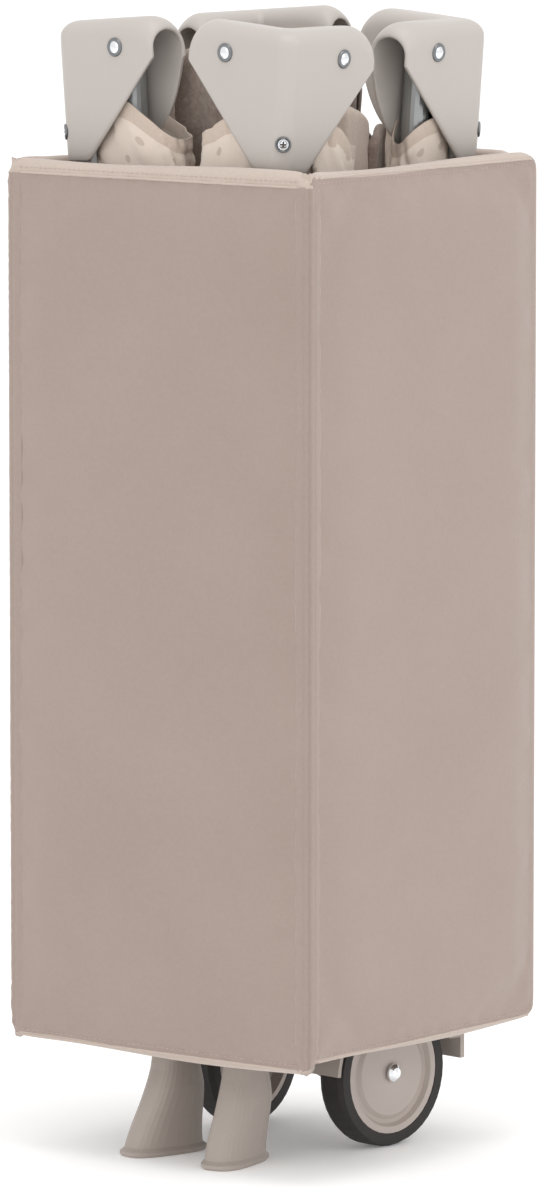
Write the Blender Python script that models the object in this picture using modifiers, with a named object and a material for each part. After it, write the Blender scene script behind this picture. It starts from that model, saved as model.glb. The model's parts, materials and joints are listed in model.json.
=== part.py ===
"""Folded playpen: a four-post folding frame standing on two feet and two wheels, with its
four-panel padded floor wrapped round it. Metres, +Z up, origin on the floor under the centre.
Corners are named f/b (front -Y, back +Y) and l/r (left -X, right +X)."""

import math

import bmesh
import bpy
from mathutils import Matrix, Vector

# ---- driving dimensions ----
WRAP_SIDE = 0.262          # outer side of the square tube that the wrapped floor makes
WRAP_THICK = 0.015
WRAP_BOTTOM = 0.084
WRAP_HEIGHT = 0.607
WRAP_MITRE_GAP = 0.0008    # how far each mitred end stops short of the corner
BUNDLE_SHIFT = -0.002      # the frame stands a little off centre in the wrap
BUNDLE_TURN = math.radians(-3)  # and is turned a little in it

BUNDLE_SIDE = 0.214        # outer side of the four corner heads together
HEAD_TOP = 0.788
HEAD_DROP = 0.097          # height of a head
HEAD_ARM = 0.092           # length of each arm from the outer corner
HEAD_DEPTH = 0.034         # width of the channel that each arm is
HEAD_WALL = 0.0026
PIVOT_INSET = 0.057        # rail pivot from the outer corner, along the arm
PIVOT_Z = HEAD_TOP - 0.020
LEAN = math.radians(4.7)   # how far the side frames lean in towards the floor

POST_INSET = 0.016
POST_RADIUS = 0.0120
RAIL_RADIUS = 0.0095
TUBE_WALL = 0.0013
LONG_RAIL = 0.445          # pivot to pivot, half of a long top rail
SHORT_RAIL = 0.225         # the same on the short sides
SHORT_LATCH_PIVOT = 0.036  # where the short rails end, from the middle
PIN_RADIUS = 0.0035
PIN_CLEARANCE = 0.0003
GAP = 0.0003

WHEEL_RADIUS = 0.052
WHEEL_X = 0.067
WHEEL_Y = 0.045
TYRE_WIDTH = 0.022
TYRE_DEPTH = 0.009
AXLE_RADIUS = 0.0040
WHEEL_TOE = math.radians(4)  # each wheel's back edge turns outwards about its post
TOE_PIVOT = Vector((0.035, 0.091, 0.0))

HUB_Z = 0.575
HUB_RADIUS = 0.050
HUB_HEIGHT = 0.034
ARM_RADIUS = 0.0060
ARM_TOP = Vector((0.021, 0.028, 0.600))
ARM_FOOT = Vector((0.019, 0.050, 0.112))
ARM_PIVOT_Z = 0.592

LATCH_LENGTH = 0.100       # along the rail, for the short sides
LONG_LATCH_LENGTH = 0.122
LATCH_DEPTH = 0.028
LATCH_HEIGHT = 0.060
LATCH_POCKET = 0.026
BUTTON_SIZE = (0.026, 0.0085, 0.016)

OUT = BUNDLE_SIDE / 2
CHANNEL_MID = OUT - HEAD_DEPTH / 2
PIVOT = OUT - PIVOT_INSET
POST = OUT - POST_INSET
CORNERS = {"fl": (-1, -1), "fr": (1, -1), "bl": (-1, 1), "br": (1, 1)}


# ---- scene, materials and helpers ----
def clear_scene():
    for obj in list(bpy.data.objects):
        bpy.data.objects.remove(obj, do_unlink=True)


def collection(name):
    made = bpy.data.collections.new(name)
    bpy.context.scene.collection.children.link(made)
    return made


def finish(name, colour, roughness, metallic=0.0):
    made = bpy.data.materials.new(name)
    made.use_nodes = True
    shader = made.node_tree.nodes["Principled BSDF"]
    shader.inputs["Base Color"].default_value = (*colour, 1.0)
    shader.inputs["Roughness"].default_value = roughness
    shader.inputs["Metallic"].default_value = metallic
    return made


clear_scene()
PARTS = collection("playpen")
CUTTERS = collection("cutters")
SHELL_PLASTIC = finish("shell_plastic", (0.56, 0.51, 0.47), 0.45)
DARK_PLASTIC = finish("dark_plastic", (0.25, 0.23, 0.22), 0.5)
STEEL_TUBE = finish("steel_tube", (0.42, 0.43, 0.43), 0.35, 0.9)
BRIGHT_STEEL = finish("bright_steel", (0.80, 0.80, 0.80), 0.2, 1.0)
TYRE_RUBBER = finish("tyre_rubber", (0.02, 0.02, 0.02), 0.7)
WRAP_FABRIC = finish("wrap_fabric", (0.46, 0.38, 0.33), 0.85)
LINING_FABRIC = finish("lining_fabric", (0.66, 0.58, 0.52), 0.9)


def empty(name, at, turn_y=0.0):
    made = bpy.data.objects.new(name, None)
    PARTS.objects.link(made)
    made.location = at
    made.rotation_euler = (0, turn_y, 0)
    bpy.context.view_layer.update()
    return made


def place(obj, material, parent=None):
    """Makes obj a part. With a parent, the object's coordinates are those before the lean."""
    PARTS.objects.link(obj)
    obj.data.materials.clear()
    obj.data.materials.append(material)
    if obj.type == "MESH":
        obj.data.shade_smooth()
        obj.data.set_sharp_from_angle(angle=math.radians(35))
    if parent:
        obj.parent = parent
        obj.matrix_parent_inverse = Matrix.Translation(-parent.location)
    return obj


def mesh_object(name, bm):
    bmesh.ops.recalc_face_normals(bm, faces=bm.faces)
    mesh = bpy.data.meshes.new(name)
    bm.to_mesh(mesh)
    bm.free()
    return bpy.data.objects.new(name, mesh)


def box(name, low, high, bevel=0.0, segments=2):
    bm = bmesh.new()
    bmesh.ops.create_cube(bm, size=1.0)
    size = Vector(high) - Vector(low)
    bmesh.ops.scale(bm, vec=size, verts=bm.verts)
    bmesh.ops.translate(bm, vec=Vector(low) + size / 2, verts=bm.verts)
    obj = mesh_object(name, bm)
    if bevel:
        rounded = obj.modifiers.new("rounded", "BEVEL")
        rounded.width = bevel
        rounded.segments = segments
    return obj


def rod(name, radius, start, end, sides=20):
    """A solid cylinder between two points."""
    start = Vector(start)
    along = Vector(end) - start
    bm = bmesh.new()
    bmesh.ops.create_cone(bm, cap_ends=True, segments=sides, radius1=radius, radius2=radius,
                          depth=along.length)
    turn = Vector((0, 0, 1)).rotation_difference(along).to_matrix().to_4x4()
    bmesh.ops.transform(bm, matrix=Matrix.Translation(start + along / 2) @ turn, verts=bm.verts)
    return mesh_object(name, bm)


def turned(name, profile, start, along, steps=24):
    """Profile points are (radius, height), turned round the axis `along` from `start`."""
    bm = bmesh.new()
    ring = [bm.verts.new((r, 0, h)) for r, h in profile]
    closed = profile[0][0] > 0
    for a, b in zip(ring, ring[1:] + ring[:1] if closed else ring[1:]):
        bm.edges.new((a, b))
    bmesh.ops.spin(bm, geom=bm.verts[:] + bm.edges[:], cent=(0, 0, 0), axis=(0, 0, 1),
                   angle=2 * math.pi, steps=steps, use_merge=True)
    bmesh.ops.remove_doubles(bm, verts=bm.verts, dist=1e-6)
    turn = Vector((0, 0, 1)).rotation_difference(Vector(along)).to_matrix().to_4x4()
    bmesh.ops.transform(bm, matrix=Matrix.Translation(start) @ turn, verts=bm.verts)
    return mesh_object(name, bm)


def pipe(name, radius, wall, start, end):
    """An open-ended round tube between two points."""
    along = Vector(end) - Vector(start)
    inner = radius - wall
    loop = [(radius, along.length), (radius, 0), (inner, 0), (inner, along.length)]
    return turned(name, loop, start, along, steps=20)


def flat_solid(name, outline, thickness, matrix):
    """A flat outline in its own XY plane, thickened along its own Z, then placed by matrix."""
    curve = bpy.data.curves.new(name, "CURVE")
    curve.dimensions = "2D"
    curve.fill_mode = "BOTH"
    curve.extrude = thickness / 2
    spline = curve.splines.new("POLY")
    spline.points.add(len(outline) - 1)
    for point, (a, b) in zip(spline.points, outline):
        point.co = (a, b, 0, 1)
    spline.use_cyclic_u = True
    drawn = bpy.data.objects.new(name + "_outline", curve)
    bpy.context.scene.collection.objects.link(drawn)
    bpy.context.view_layer.update()
    graph = bpy.context.evaluated_depsgraph_get()
    mesh = bpy.data.meshes.new_from_object(drawn.evaluated_get(graph))
    bpy.data.objects.remove(drawn)
    bm = bmesh.new()
    bm.from_mesh(mesh)
    bpy.data.meshes.remove(mesh)
    bmesh.ops.remove_doubles(bm, verts=bm.verts, dist=1e-6)
    bmesh.ops.transform(bm, matrix=matrix, verts=bm.verts)
    return mesh_object(name, bm)


def arc(centre, radius, start, end, steps):
    """Points on an arc, angles in degrees."""
    angles = [math.radians(start + (end - start) * i / steps) for i in range(steps + 1)]
    return [(centre[0] + radius * math.cos(t), centre[1] + radius * math.sin(t)) for t in angles]


def combine(obj, other, operation="DIFFERENCE"):
    """Cuts obj by other, or joins other to it, and keeps the result as obj's own mesh."""
    CUTTERS.objects.link(other)
    other.hide_render = True
    other.display_type = "WIRE"
    linked_here = obj.name not in bpy.context.scene.collection.all_objects
    if linked_here:
        bpy.context.scene.collection.objects.link(obj)
    change = obj.modifiers.new(operation.lower(), "BOOLEAN")
    change.operation = operation
    change.object = other
    bpy.context.view_layer.update()
    graph = bpy.context.evaluated_depsgraph_get()
    mesh = bpy.data.meshes.new_from_object(obj.evaluated_get(graph))
    obj.modifiers.clear()
    obj.data = mesh
    bpy.data.objects.remove(other)
    if linked_here:
        bpy.context.scene.collection.objects.unlink(obj)
    return obj


def mirrored(obj, name, sx, sy):
    """A copy of a mesh built for the front left corner, moved to another corner."""
    bm = bmesh.new()
    bm.from_mesh(obj.data)
    bmesh.ops.scale(bm, vec=(-sx, -sy, 1), verts=bm.verts)
    if sx * sy < 0:
        bmesh.ops.reverse_faces(bm, faces=bm.faces)
    mesh = bpy.data.meshes.new(name)
    bm.to_mesh(mesh)
    bm.free()
    return bpy.data.objects.new(name, mesh)


def at_pivot(x, z):
    """World place of a point given before the left frame's lean."""
    dx, dz = x + PIVOT, z - PIVOT_Z
    return (-PIVOT + dx * math.cos(LEAN) - dz * math.sin(LEAN),
            PIVOT_Z + dx * math.sin(LEAN) + dz * math.cos(LEAN))


# ---- the corner head: two channels that meet at the post ----
def arm_block(name, inset, length, drop, edge_radius):
    """One arm as a block with rounded top edges. inset shrinks it to the hollow inside."""
    low = Vector((-OUT + inset, -OUT + inset, HEAD_TOP - drop))
    high = Vector((-OUT + length, -OUT + HEAD_DEPTH - inset, HEAD_TOP - inset))
    bm = bmesh.new()
    bmesh.ops.create_cube(bm, size=1.0)
    bmesh.ops.scale(bm, vec=high - low, verts=bm.verts)
    bmesh.ops.translate(bm, vec=(low + high) / 2, verts=bm.verts)
    top = high.z
    edges = [e for e in bm.edges if all(abs(v.co.z - top) < 1e-6 for v in e.verts)]
    arris = [e for e in bm.edges
             if all(abs(v.co.x - low.x) + abs(v.co.y - low.y) < 1e-6 for v in e.verts)]
    bmesh.ops.bevel(bm, geom=edges + arris, offset=edge_radius, segments=3, profile=0.5,
                    affect="EDGES")
    return mesh_object(name, bm)


def swap_xy(obj):
    obj.data.transform(Matrix(((0, 1, 0, 0), (1, 0, 0, 0), (0, 0, 1, 0), (0, 0, 0, 1))))
    obj.data.flip_normals()
    return obj


def head_shape():
    outer_radius = 0.0115
    shape = combine(arm_block("head_arm", 0, HEAD_ARM, HEAD_DROP, outer_radius),
                    swap_xy(arm_block("head_arm_2", 0, HEAD_ARM, HEAD_DROP, outer_radius)), "UNION")
    for turn in (lambda o: o, swap_xy):
        hollow = arm_block("hollow", HEAD_WALL, HEAD_ARM + 0.02, HEAD_DROP + 0.02, 0.0090)
        shape = combine(shape, turn(hollow))
        # the slanted lower edge of each arm, from under the mouth to the foot of the head
        mouth_drop, toe = 0.0255, 0.0262
        edge = [(-OUT + HEAD_ARM + 0.001, HEAD_TOP - mouth_drop), (-OUT + toe, HEAD_TOP - HEAD_DROP),
                (-OUT + toe, HEAD_TOP - HEAD_DROP - 0.02), (-OUT + HEAD_ARM + 0.03, HEAD_TOP - 0.15),
                (-OUT + HEAD_ARM + 0.03, HEAD_TOP - mouth_drop)]
        upright = Matrix.Translation((0, -OUT + 0.02, 0)) @ Matrix.Rotation(math.pi / 2, 4, "X")
        shape = combine(shape, turn(flat_solid("slant", edge, 0.08, upright)))
        hole = rod("hole", PIN_RADIUS + PIN_CLEARANCE, (-PIVOT, -OUT - 0.01, PIVOT_Z),
                   (-PIVOT, -OUT + HEAD_DEPTH + 0.01, PIVOT_Z))
        shape = combine(shape, turn(hole))
    return shape


def pin_profile():
    """A domed rivet: head outside the shell, shank through both walls."""
    cap, dome, length = 0.0052, 0.0024, HEAD_DEPTH + 0.0025
    return [(0, dome), (cap * 0.55, dome * 0.8), (cap * 0.9, dome * 0.35), (cap, GAP),
            (PIN_RADIUS, GAP), (PIN_RADIUS, -length), (0, -length)]


# ---- rails, posts and latches ----
def hanging_rail(name, top, bottom, pin_axis):
    """A half rail hanging from its pivot, with the pin's hole drilled across it."""
    along = (Vector(top) - Vector(bottom)).normalized()
    rail = pipe(name, RAIL_RADIUS, TUBE_WALL, Vector(top) + along * 0.0115, bottom)
    across = Vector(pin_axis) * 0.02
    return combine(rail, rod("drill", PIN_RADIUS + PIN_CLEARANCE, Vector(top) - across,
                             Vector(top) + across))


def latch_shape(length, centre_z, rail_ends):
    """Housing for the front side, lying along X. Rails stand in pockets in its top."""
    y0 = -CHANNEL_MID - LATCH_DEPTH / 2
    y1 = -CHANNEL_MID + LATCH_DEPTH / 2
    low_z, high_z = centre_z - LATCH_HEIGHT / 2, centre_z + LATCH_HEIGHT / 2
    housing = box("latch", (-length / 2, y0, low_z), (length / 2, y1, high_z), 0.005, 2)
    for x in rail_ends:
        housing = combine(housing, rod("pocket", RAIL_RADIUS + 0.0014,
                                       (x, -CHANNEL_MID, high_z - LATCH_POCKET),
                                       (x, -CHANNEL_MID, high_z + 0.01)))
    w, d, h = (v + 2 * GAP for v in BUTTON_SIZE)
    recess = box("recess", (-w / 2, y0 - 0.01, centre_z - 0.006 - h / 2),
                 (w / 2, y0 + d + 0.001, centre_z - 0.006 + h / 2))
    return combine(housing, recess)


def button_shape(name, centre_z):
    w, d, h = BUTTON_SIZE
    front = -CHANNEL_MID - LATCH_DEPTH / 2
    return box(name, (-w / 2, front - 0.0022, centre_z - 0.006 - h / 2),
               (w / 2, front + d - 0.0035, centre_z - 0.006 + h / 2), 0.0015, 2)


def turned_about_z(obj, degrees):
    obj.data.transform(Matrix.Rotation(math.radians(degrees), 4, "Z"))
    return obj


def build_heads_and_posts(frames):
    head = head_shape()
    for corner, (sx, sy) in CORNERS.items():
        frame = frames[sx]
        place(mirrored(head, "head_" + corner, sx, sy), SHELL_PLASTIC, frame)
        bottom = 0.104 if sy < 0 else 0.092
        place(pipe("post_" + corner, POST_RADIUS, TUBE_WALL, (sx * POST, sy * POST, bottom),
                   (sx * POST, sy * POST, HEAD_TOP - 0.013)), STEEL_TUBE, frame)
        place(turned("short_rail_pin_" + corner, pin_profile(), (sx * PIVOT, sy * OUT, PIVOT_Z),
                     (0, sy, 0)), BRIGHT_STEEL, frame)
        place(turned("long_rail_pin_" + corner, pin_profile(), (sx * OUT, sy * PIVOT, PIVOT_Z),
                     (sx, 0, 0)), BRIGHT_STEEL, frame)
        place(hanging_rail("long_rail_" + corner, (sx * CHANNEL_MID, sy * PIVOT, PIVOT_Z),
                           (sx * CHANNEL_MID, sy * PIVOT, PIVOT_Z - LONG_RAIL), (1, 0, 0)),
              STEEL_TUBE, frame)
        place(hanging_rail("short_rail_" + corner, (sx * PIVOT, sy * CHANNEL_MID, PIVOT_Z),
                           (sx * SHORT_LATCH_PIVOT, sy * CHANNEL_MID, PIVOT_Z - SHORT_RAIL),
                           (0, 1, 0)), STEEL_TUBE)
    bpy.data.objects.remove(head)


def build_latches(frames):
    short_z = PIVOT_Z - SHORT_RAIL + LATCH_POCKET - LATCH_HEIGHT / 2 - 0.001
    long_z = PIVOT_Z - LONG_RAIL + LATCH_POCKET - LATCH_HEIGHT / 2 - 0.001
    for side, degrees, frame in (("front", 0, None), ("back", 180, None),
                                 ("right", 90, frames[1]), ("left", -90, frames[-1])):
        long_side = frame is not None
        length = LONG_LATCH_LENGTH if long_side else LATCH_LENGTH
        end = PIVOT if long_side else SHORT_LATCH_PIVOT + 0.0006
        z = long_z if long_side else short_z
        housing = latch_shape(length, z, (-end, end))
        housing.name = "latch_" + side
        place(turned_about_z(housing, degrees), SHELL_PLASTIC, frame)
        button = turned_about_z(button_shape("latch_button_" + side, z), degrees)
        place(button, DARK_PLASTIC, frame)


# ---- floor hub and its four arms ----
def build_hub():
    top = HUB_Z + HUB_HEIGHT
    profile = [(0, top), (HUB_RADIUS * 0.7, top - 0.002), (HUB_RADIUS * 0.94, top - 0.010),
               (HUB_RADIUS, top - 0.020), (HUB_RADIUS, HUB_Z), (0, HUB_Z)]
    hub = turned("hub", profile, (0, 0, 0), (0, 0, 1), steps=32)
    for sx, sy in CORNERS.values():
        slot_low = (sx * ARM_TOP.x - 0.0135, sy * ARM_TOP.y - 0.0078, HUB_Z - 0.01)
        slot_high = (sx * ARM_TOP.x + 0.0135, sy * ARM_TOP.y + 0.0078, ARM_TOP.z + 0.002)
        hub = combine(hub, box("slot", slot_low, slot_high))
    stem = 0.0055
    hub = combine(hub, rod("stem_hole", stem + 0.0004, (0, 0, HUB_Z - 0.01), (0, 0, top + 0.01)))
    place(hub, SHELL_PLASTIC)
    grip = box("hub_handle", (-0.026, -0.008, top + 0.0015), (0.026, 0.008, top + 0.0125), 0.004, 2)
    grip = combine(grip, rod("stem", stem, (0, 0, HUB_Z + 0.004), (0, 0, top + 0.006)), "UNION")
    place(grip, DARK_PLASTIC)
    for corner, (sx, sy) in CORNERS.items():
        low = (sx * ARM_FOOT.x, sy * ARM_FOOT.y, ARM_FOOT.z)
        high = (sx * ARM_TOP.x, sy * ARM_TOP.y, ARM_TOP.z)
        place(pipe("floor_arm_" + corner, ARM_RADIUS, TUBE_WALL, low, high), STEEL_TUBE)


# ---- feet and wheels, built as they stand on the floor ----
def loft(name, rings):
    """A closed solid through rings of equal point counts, from the lowest ring up."""
    bm = bmesh.new()
    loops = [[bm.verts.new(p) for p in ring] for ring in rings]
    count = len(rings[0])
    for a, b in zip(loops, loops[1:]):
        for i in range(count):
            j = (i + 1) % count
            bm.faces.new((a[i], a[j], b[j], b[i]))
    bm.faces.new(list(reversed(loops[0])))
    bm.faces.new(loops[-1])
    return mesh_object(name, bm)


def rounded_section(centre, half, z, skew, power=2.8, count=28):
    """A soft rectangle: half is (half width, half length), skew its turn about Z."""
    ring = []
    for i in range(count):
        t = 2 * math.pi * i / count
        c, s = math.cos(t), math.sin(t)
        x = half[0] * math.copysign(abs(c) ** (2 / power), c)
        y = half[1] * math.copysign(abs(s) ** (2 / power), s)
        ring.append((centre[0] + x * math.cos(skew) - y * math.sin(skew),
                     centre[1] + x * math.sin(skew) + y * math.cos(skew), z))
    return ring


def build_foot(name, side):
    skew = math.radians(-13)
    sections = [  # centre x, centre y, half width, half length, z
        (-0.0330, -0.0780, 0.0150, 0.0320, 0.0000), (-0.0330, -0.0780, 0.0162, 0.0335, 0.0015),
        (-0.0330, -0.0780, 0.0162, 0.0335, 0.0036), (-0.0330, -0.0778, 0.0146, 0.0300, 0.0060),
        (-0.0327, -0.0770, 0.0142, 0.0265, 0.0250), (-0.0322, -0.0757, 0.0138, 0.0222, 0.0480),
        (-0.0320, -0.0752, 0.0136, 0.0196, 0.0600), (-0.0322, -0.0762, 0.0126, 0.0165, 0.0700),
        (-0.0345, -0.0850, 0.0160, 0.0175, 0.0930), (-0.0370, -0.0900, 0.0175, 0.0185, 0.1050),
        (-0.0375, -0.0910, 0.0175, 0.0180, 0.1380)]
    rings = [rounded_section((x, y), (w, h), z, skew * max(0, 1 - z / 0.09))
             for x, y, w, h, z in sections]
    foot = loft("foot_shape", rings)
    low_x, low_z = at_pivot(-POST, 0.104 - 0.001)
    high_x, high_z = at_pivot(-POST, 0.180)
    foot = combine(foot, rod("socket", POST_RADIUS + GAP, (low_x, -POST, low_z),
                             (high_x, -POST, high_z)))
    return mirrored(foot, name, side, -1)


def toed(obj, side):
    """Turns a piece of the wheel about its post, back edge outwards."""
    pivot = Vector((side * TOE_PIVOT.x, TOE_PIVOT.y, 0))
    obj.data.transform(Matrix.Translation(pivot) @ Matrix.Rotation(-side * WHEEL_TOE, 4, "Z")
                       @ Matrix.Translation(-pivot))
    return obj


def build_wheel_bracket(name, side):
    """Built for the back right corner: fender over the wheel, web, end lug, plate and socket."""
    wheel = (WHEEL_Y, WHEEL_RADIUS)
    inner, outer = WHEEL_RADIUS + 0.0030, WHEEL_RADIUS + 0.0060
    tail = 22
    outline = arc(wheel, outer, 176, tail, 22)
    web_z = outline[-1][1]
    outline += [(0.1115, web_z), (0.1140, web_z - 0.0015), (0.1140, web_z - 0.019),
                (0.1100, web_z - 0.019), (0.1100, web_z - 0.004)]
    outline += [(arc(wheel, inner, tail, tail, 1)[0][0] + 0.0035, web_z - 0.004)]
    outline += arc(wheel, inner, tail - 1, 176, 22)
    width = TYRE_WIDTH + 0.006
    upright = Matrix(((0, 0, 1, 0), (1, 0, 0, 0), (0, 1, 0, 0), (0, 0, 0, 1)))
    fender_x = WHEEL_X - 0.0005
    bracket = flat_solid("fender", outline, width, Matrix.Translation((fender_x, 0, 0)) @ upright)
    cheek = arc(wheel, outer - 0.0005, 173, 24, 16) + [(0.105, 0.071), (0.105, 0.060),
                                                       (0.072, 0.040), (0.030, 0.036)]
    plate_x = fender_x - width / 2 - 0.0015
    bracket = combine(bracket, flat_solid("cheek", cheek, 0.005,
                                          Matrix.Translation((plate_x, 0, 0)) @ upright), "UNION")
    socket = box("socket", (0.019, 0.070, 0.066), (plate_x + 0.001, 0.1035, 0.128), 0.003, 2)
    bracket = combine(bracket, socket, "UNION")
    hub_hole = rod("hub_hole", AXLE_RADIUS + GAP, (0.030, WHEEL_Y, WHEEL_RADIUS),
                   (WHEEL_X - 0.008, WHEEL_Y, WHEEL_RADIUS))
    bracket = toed(combine(bracket, hub_hole), 1)
    low_x, low_z = at_pivot(-POST, 0.092 - 0.001)
    high_x, high_z = at_pivot(-POST, 0.200)
    bracket = combine(bracket, rod("bore", POST_RADIUS + GAP, (-low_x, POST, low_z),
                                   (-high_x, POST, high_z)))
    return mirrored(bracket, name, -side, -1)


def build_wheel(tag, side, frame_x):
    """Tyre, hub and axle. Heights in each profile run outwards along X from the wheel's middle."""
    centre, outward = (side * frame_x, WHEEL_Y, WHEEL_RADIUS), (side, 0, 0)
    half, r = TYRE_WIDTH / 2, WHEEL_RADIUS
    rim = r - TYRE_DEPTH
    tyre = [(r - 0.002, half), (r, half - 0.004), (r, -half + 0.004), (r - 0.002, -half),
            (rim, -half), (rim, half)]
    place(toed(turned("tyre_" + tag, tyre, centre, outward, 40), side), TYRE_RUBBER)
    edge, bore, face = rim - GAP, AXLE_RADIUS + GAP, half - 0.0005
    hub = [(edge, face), (edge, -face), (edge - 0.004, -face), (edge - 0.006, -0.003),
           (0.012, -0.003), (0.011, -face), (bore, -face), (bore, face - 0.001),
           (0.030, face - 0.001), (0.033, face - 0.003), (0.036, face - 0.003), (0.038, face)]
    place(toed(turned("wheel_hub_" + tag, list(reversed(hub)), centre, outward, 40), side), SHELL_PLASTIC)
    cap = 0.0065
    axle = [(0, half + 0.004), (cap * 0.6, half + 0.0034), (cap * 0.95, half + 0.0018),
            (cap, half + GAP), (AXLE_RADIUS, half + GAP), (AXLE_RADIUS, -half - 0.010),
            (0, -half - 0.010)]
    place(toed(turned("axle_" + tag, axle, centre, outward, 20), side), BRIGHT_STEEL)


# ---- the wrapped floor: four padded panels ----
def upright_panel(name, outline):
    """An outline in plan, raised to the wrap's height."""
    middle = Matrix.Translation((0, 0, WRAP_BOTTOM + WRAP_HEIGHT / 2))
    panel = flat_solid(name, outline, WRAP_HEIGHT, middle)
    soft = panel.modifiers.new("soft_edges", "BEVEL")
    soft.width = 0.004
    soft.segments = 2
    return panel


def build_wrap():
    half, thick, gap = WRAP_SIDE / 2, WRAP_THICK, WRAP_MITRE_GAP
    outer, inner = half - gap, half - thick - gap
    place(upright_panel("wrap_panel_front", [(-outer, -half), (outer, -half),
                                             (inner, -half + thick), (-inner, -half + thick)]),
          WRAP_FABRIC)
    place(upright_panel("wrap_panel_left", [(-half, outer), (-half, -outer),
                                            (-half + thick, -inner), (-half + thick, inner)]),
          WRAP_FABRIC)
    butt = half - thick - 0.0012
    place(upright_panel("wrap_panel_back", [(butt, half), (-outer, half), (-inner, half - thick),
                                            (butt, half - thick)]), WRAP_FABRIC)
    right = upright_panel("wrap_panel_right", [(half, -outer), (half, half), (half - thick, half),
                                               (half - thick, -inner)])
    place(right, WRAP_FABRIC)


# ---- folded fabric of the walls and floor ----
def build_fabric(frames):
    y_mid = -CHANNEL_MID
    for side, degrees in (("front", 0), ("back", 180)):
        fold = box("wall_fabric_" + side, (-0.022, y_mid - 0.011, 0.586), (0.022, y_mid + 0.011, 0.752),
                   0.006, 2)
        place(turned_about_z(fold, degrees), LINING_FABRIC)
    for side, degrees, frame in (("right", 90, frames[1]), ("left", -90, frames[-1])):
        fold = box("wall_fabric_" + side, (-0.030, y_mid - 0.011, 0.366), (0.030, y_mid + 0.011, 0.752),
                   0.006, 2)
        place(turned_about_z(fold, degrees), LINING_FABRIC, frame)
    place(box("floor_fabric", (-0.046, -0.050, 0.636), (0.046, 0.050, 0.690), 0.012, 2),
          LINING_FABRIC)


def main():
    frames = {-1: empty("left_frame_axis", (-PIVOT, 0, PIVOT_Z), -LEAN),
              1: empty("right_frame_axis", (PIVOT, 0, PIVOT_Z), LEAN)}
    build_heads_and_posts(frames)
    build_latches(frames)
    build_hub()
    for side, tag in ((-1, "fl"), (1, "fr")):
        place(build_foot("foot_" + tag, side), SHELL_PLASTIC)
    for side, tag in ((-1, "bl"), (1, "br")):
        place(build_wheel_bracket("wheel_bracket_" + tag, side), SHELL_PLASTIC)
        build_wheel(tag, side, WHEEL_X)
    build_fabric(frames)
    turn = Matrix.Translation((BUNDLE_SHIFT, 0, 0)) @ Matrix.Rotation(BUNDLE_TURN, 4, "Z")
    for obj in PARTS.objects:
        if obj.parent is None:
            obj.matrix_world = turn @ obj.matrix_world
    build_wrap()


main()
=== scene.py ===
# %% [markdown]
# # A folded playpen, packed in its own floor
# The real object is a travel cot: a steel frame that collapses into a square bundle on two feet
# and two wheels. Its padded floor folds in four and closes round the bundle like a tube.
# The rigid frame comes ready measured. This lesson adds the soft goods and every finish.

# %% The frame, and its box
import json
import math

import bmesh
import bpy
from mathutils import Matrix, Vector, noise


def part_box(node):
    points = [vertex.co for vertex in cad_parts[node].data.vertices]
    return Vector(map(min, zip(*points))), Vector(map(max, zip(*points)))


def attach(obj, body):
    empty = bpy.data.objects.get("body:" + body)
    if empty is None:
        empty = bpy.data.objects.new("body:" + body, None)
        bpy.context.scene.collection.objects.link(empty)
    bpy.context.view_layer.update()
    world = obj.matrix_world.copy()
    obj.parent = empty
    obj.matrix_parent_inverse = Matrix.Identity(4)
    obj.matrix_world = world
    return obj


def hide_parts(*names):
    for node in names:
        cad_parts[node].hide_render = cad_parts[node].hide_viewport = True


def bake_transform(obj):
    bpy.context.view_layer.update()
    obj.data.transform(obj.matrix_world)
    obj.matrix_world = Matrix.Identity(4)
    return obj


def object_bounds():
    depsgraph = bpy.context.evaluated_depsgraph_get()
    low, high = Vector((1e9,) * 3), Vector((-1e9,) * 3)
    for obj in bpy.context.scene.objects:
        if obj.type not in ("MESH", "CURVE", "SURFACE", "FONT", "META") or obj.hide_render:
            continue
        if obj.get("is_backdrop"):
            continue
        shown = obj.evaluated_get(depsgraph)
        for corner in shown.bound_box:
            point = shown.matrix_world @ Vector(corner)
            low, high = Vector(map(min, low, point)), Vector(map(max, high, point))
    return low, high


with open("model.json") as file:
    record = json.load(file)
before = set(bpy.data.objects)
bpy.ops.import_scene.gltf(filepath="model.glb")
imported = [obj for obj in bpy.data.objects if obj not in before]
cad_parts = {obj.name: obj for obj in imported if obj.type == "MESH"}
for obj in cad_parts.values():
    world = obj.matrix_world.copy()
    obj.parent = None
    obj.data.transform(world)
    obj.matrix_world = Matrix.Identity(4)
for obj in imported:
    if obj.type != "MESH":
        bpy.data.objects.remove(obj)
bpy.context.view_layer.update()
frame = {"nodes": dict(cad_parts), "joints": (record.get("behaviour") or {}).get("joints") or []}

# %% [markdown]
# The wrap's own sizes come from its four panels in the frame, so that the padding sits exactly
# where the rigid panels are. Everything soft is placed from these few numbers.

# %% Sizes taken from the frame
front_low, front_high = (Vector(corner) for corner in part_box("wrap_panel_front"))
left_low, left_high = (Vector(corner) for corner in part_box("wrap_panel_left"))
HALF = -left_low.x                      # half of the wrap's outer side
PAD = front_high.y - front_low.y        # thickness of the padding
LOW, HIGH = front_low.z, front_high.z   # the wrap's lower and upper rims
TALL = HIGH - LOW
MIDDLE = Vector((0, 0, (LOW + HIGH) / 2))
print("wrap side", 2 * HALF, "padding", PAD, "from", LOW, "to", HIGH)

# %% [markdown]
# ## Camera, floor and light
# A long lens from nearly six metres keeps the tall bundle's sides almost parallel. The floor
# sweeps up behind into a wall, as paper does in a studio, so no horizon cuts the picture.

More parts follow.
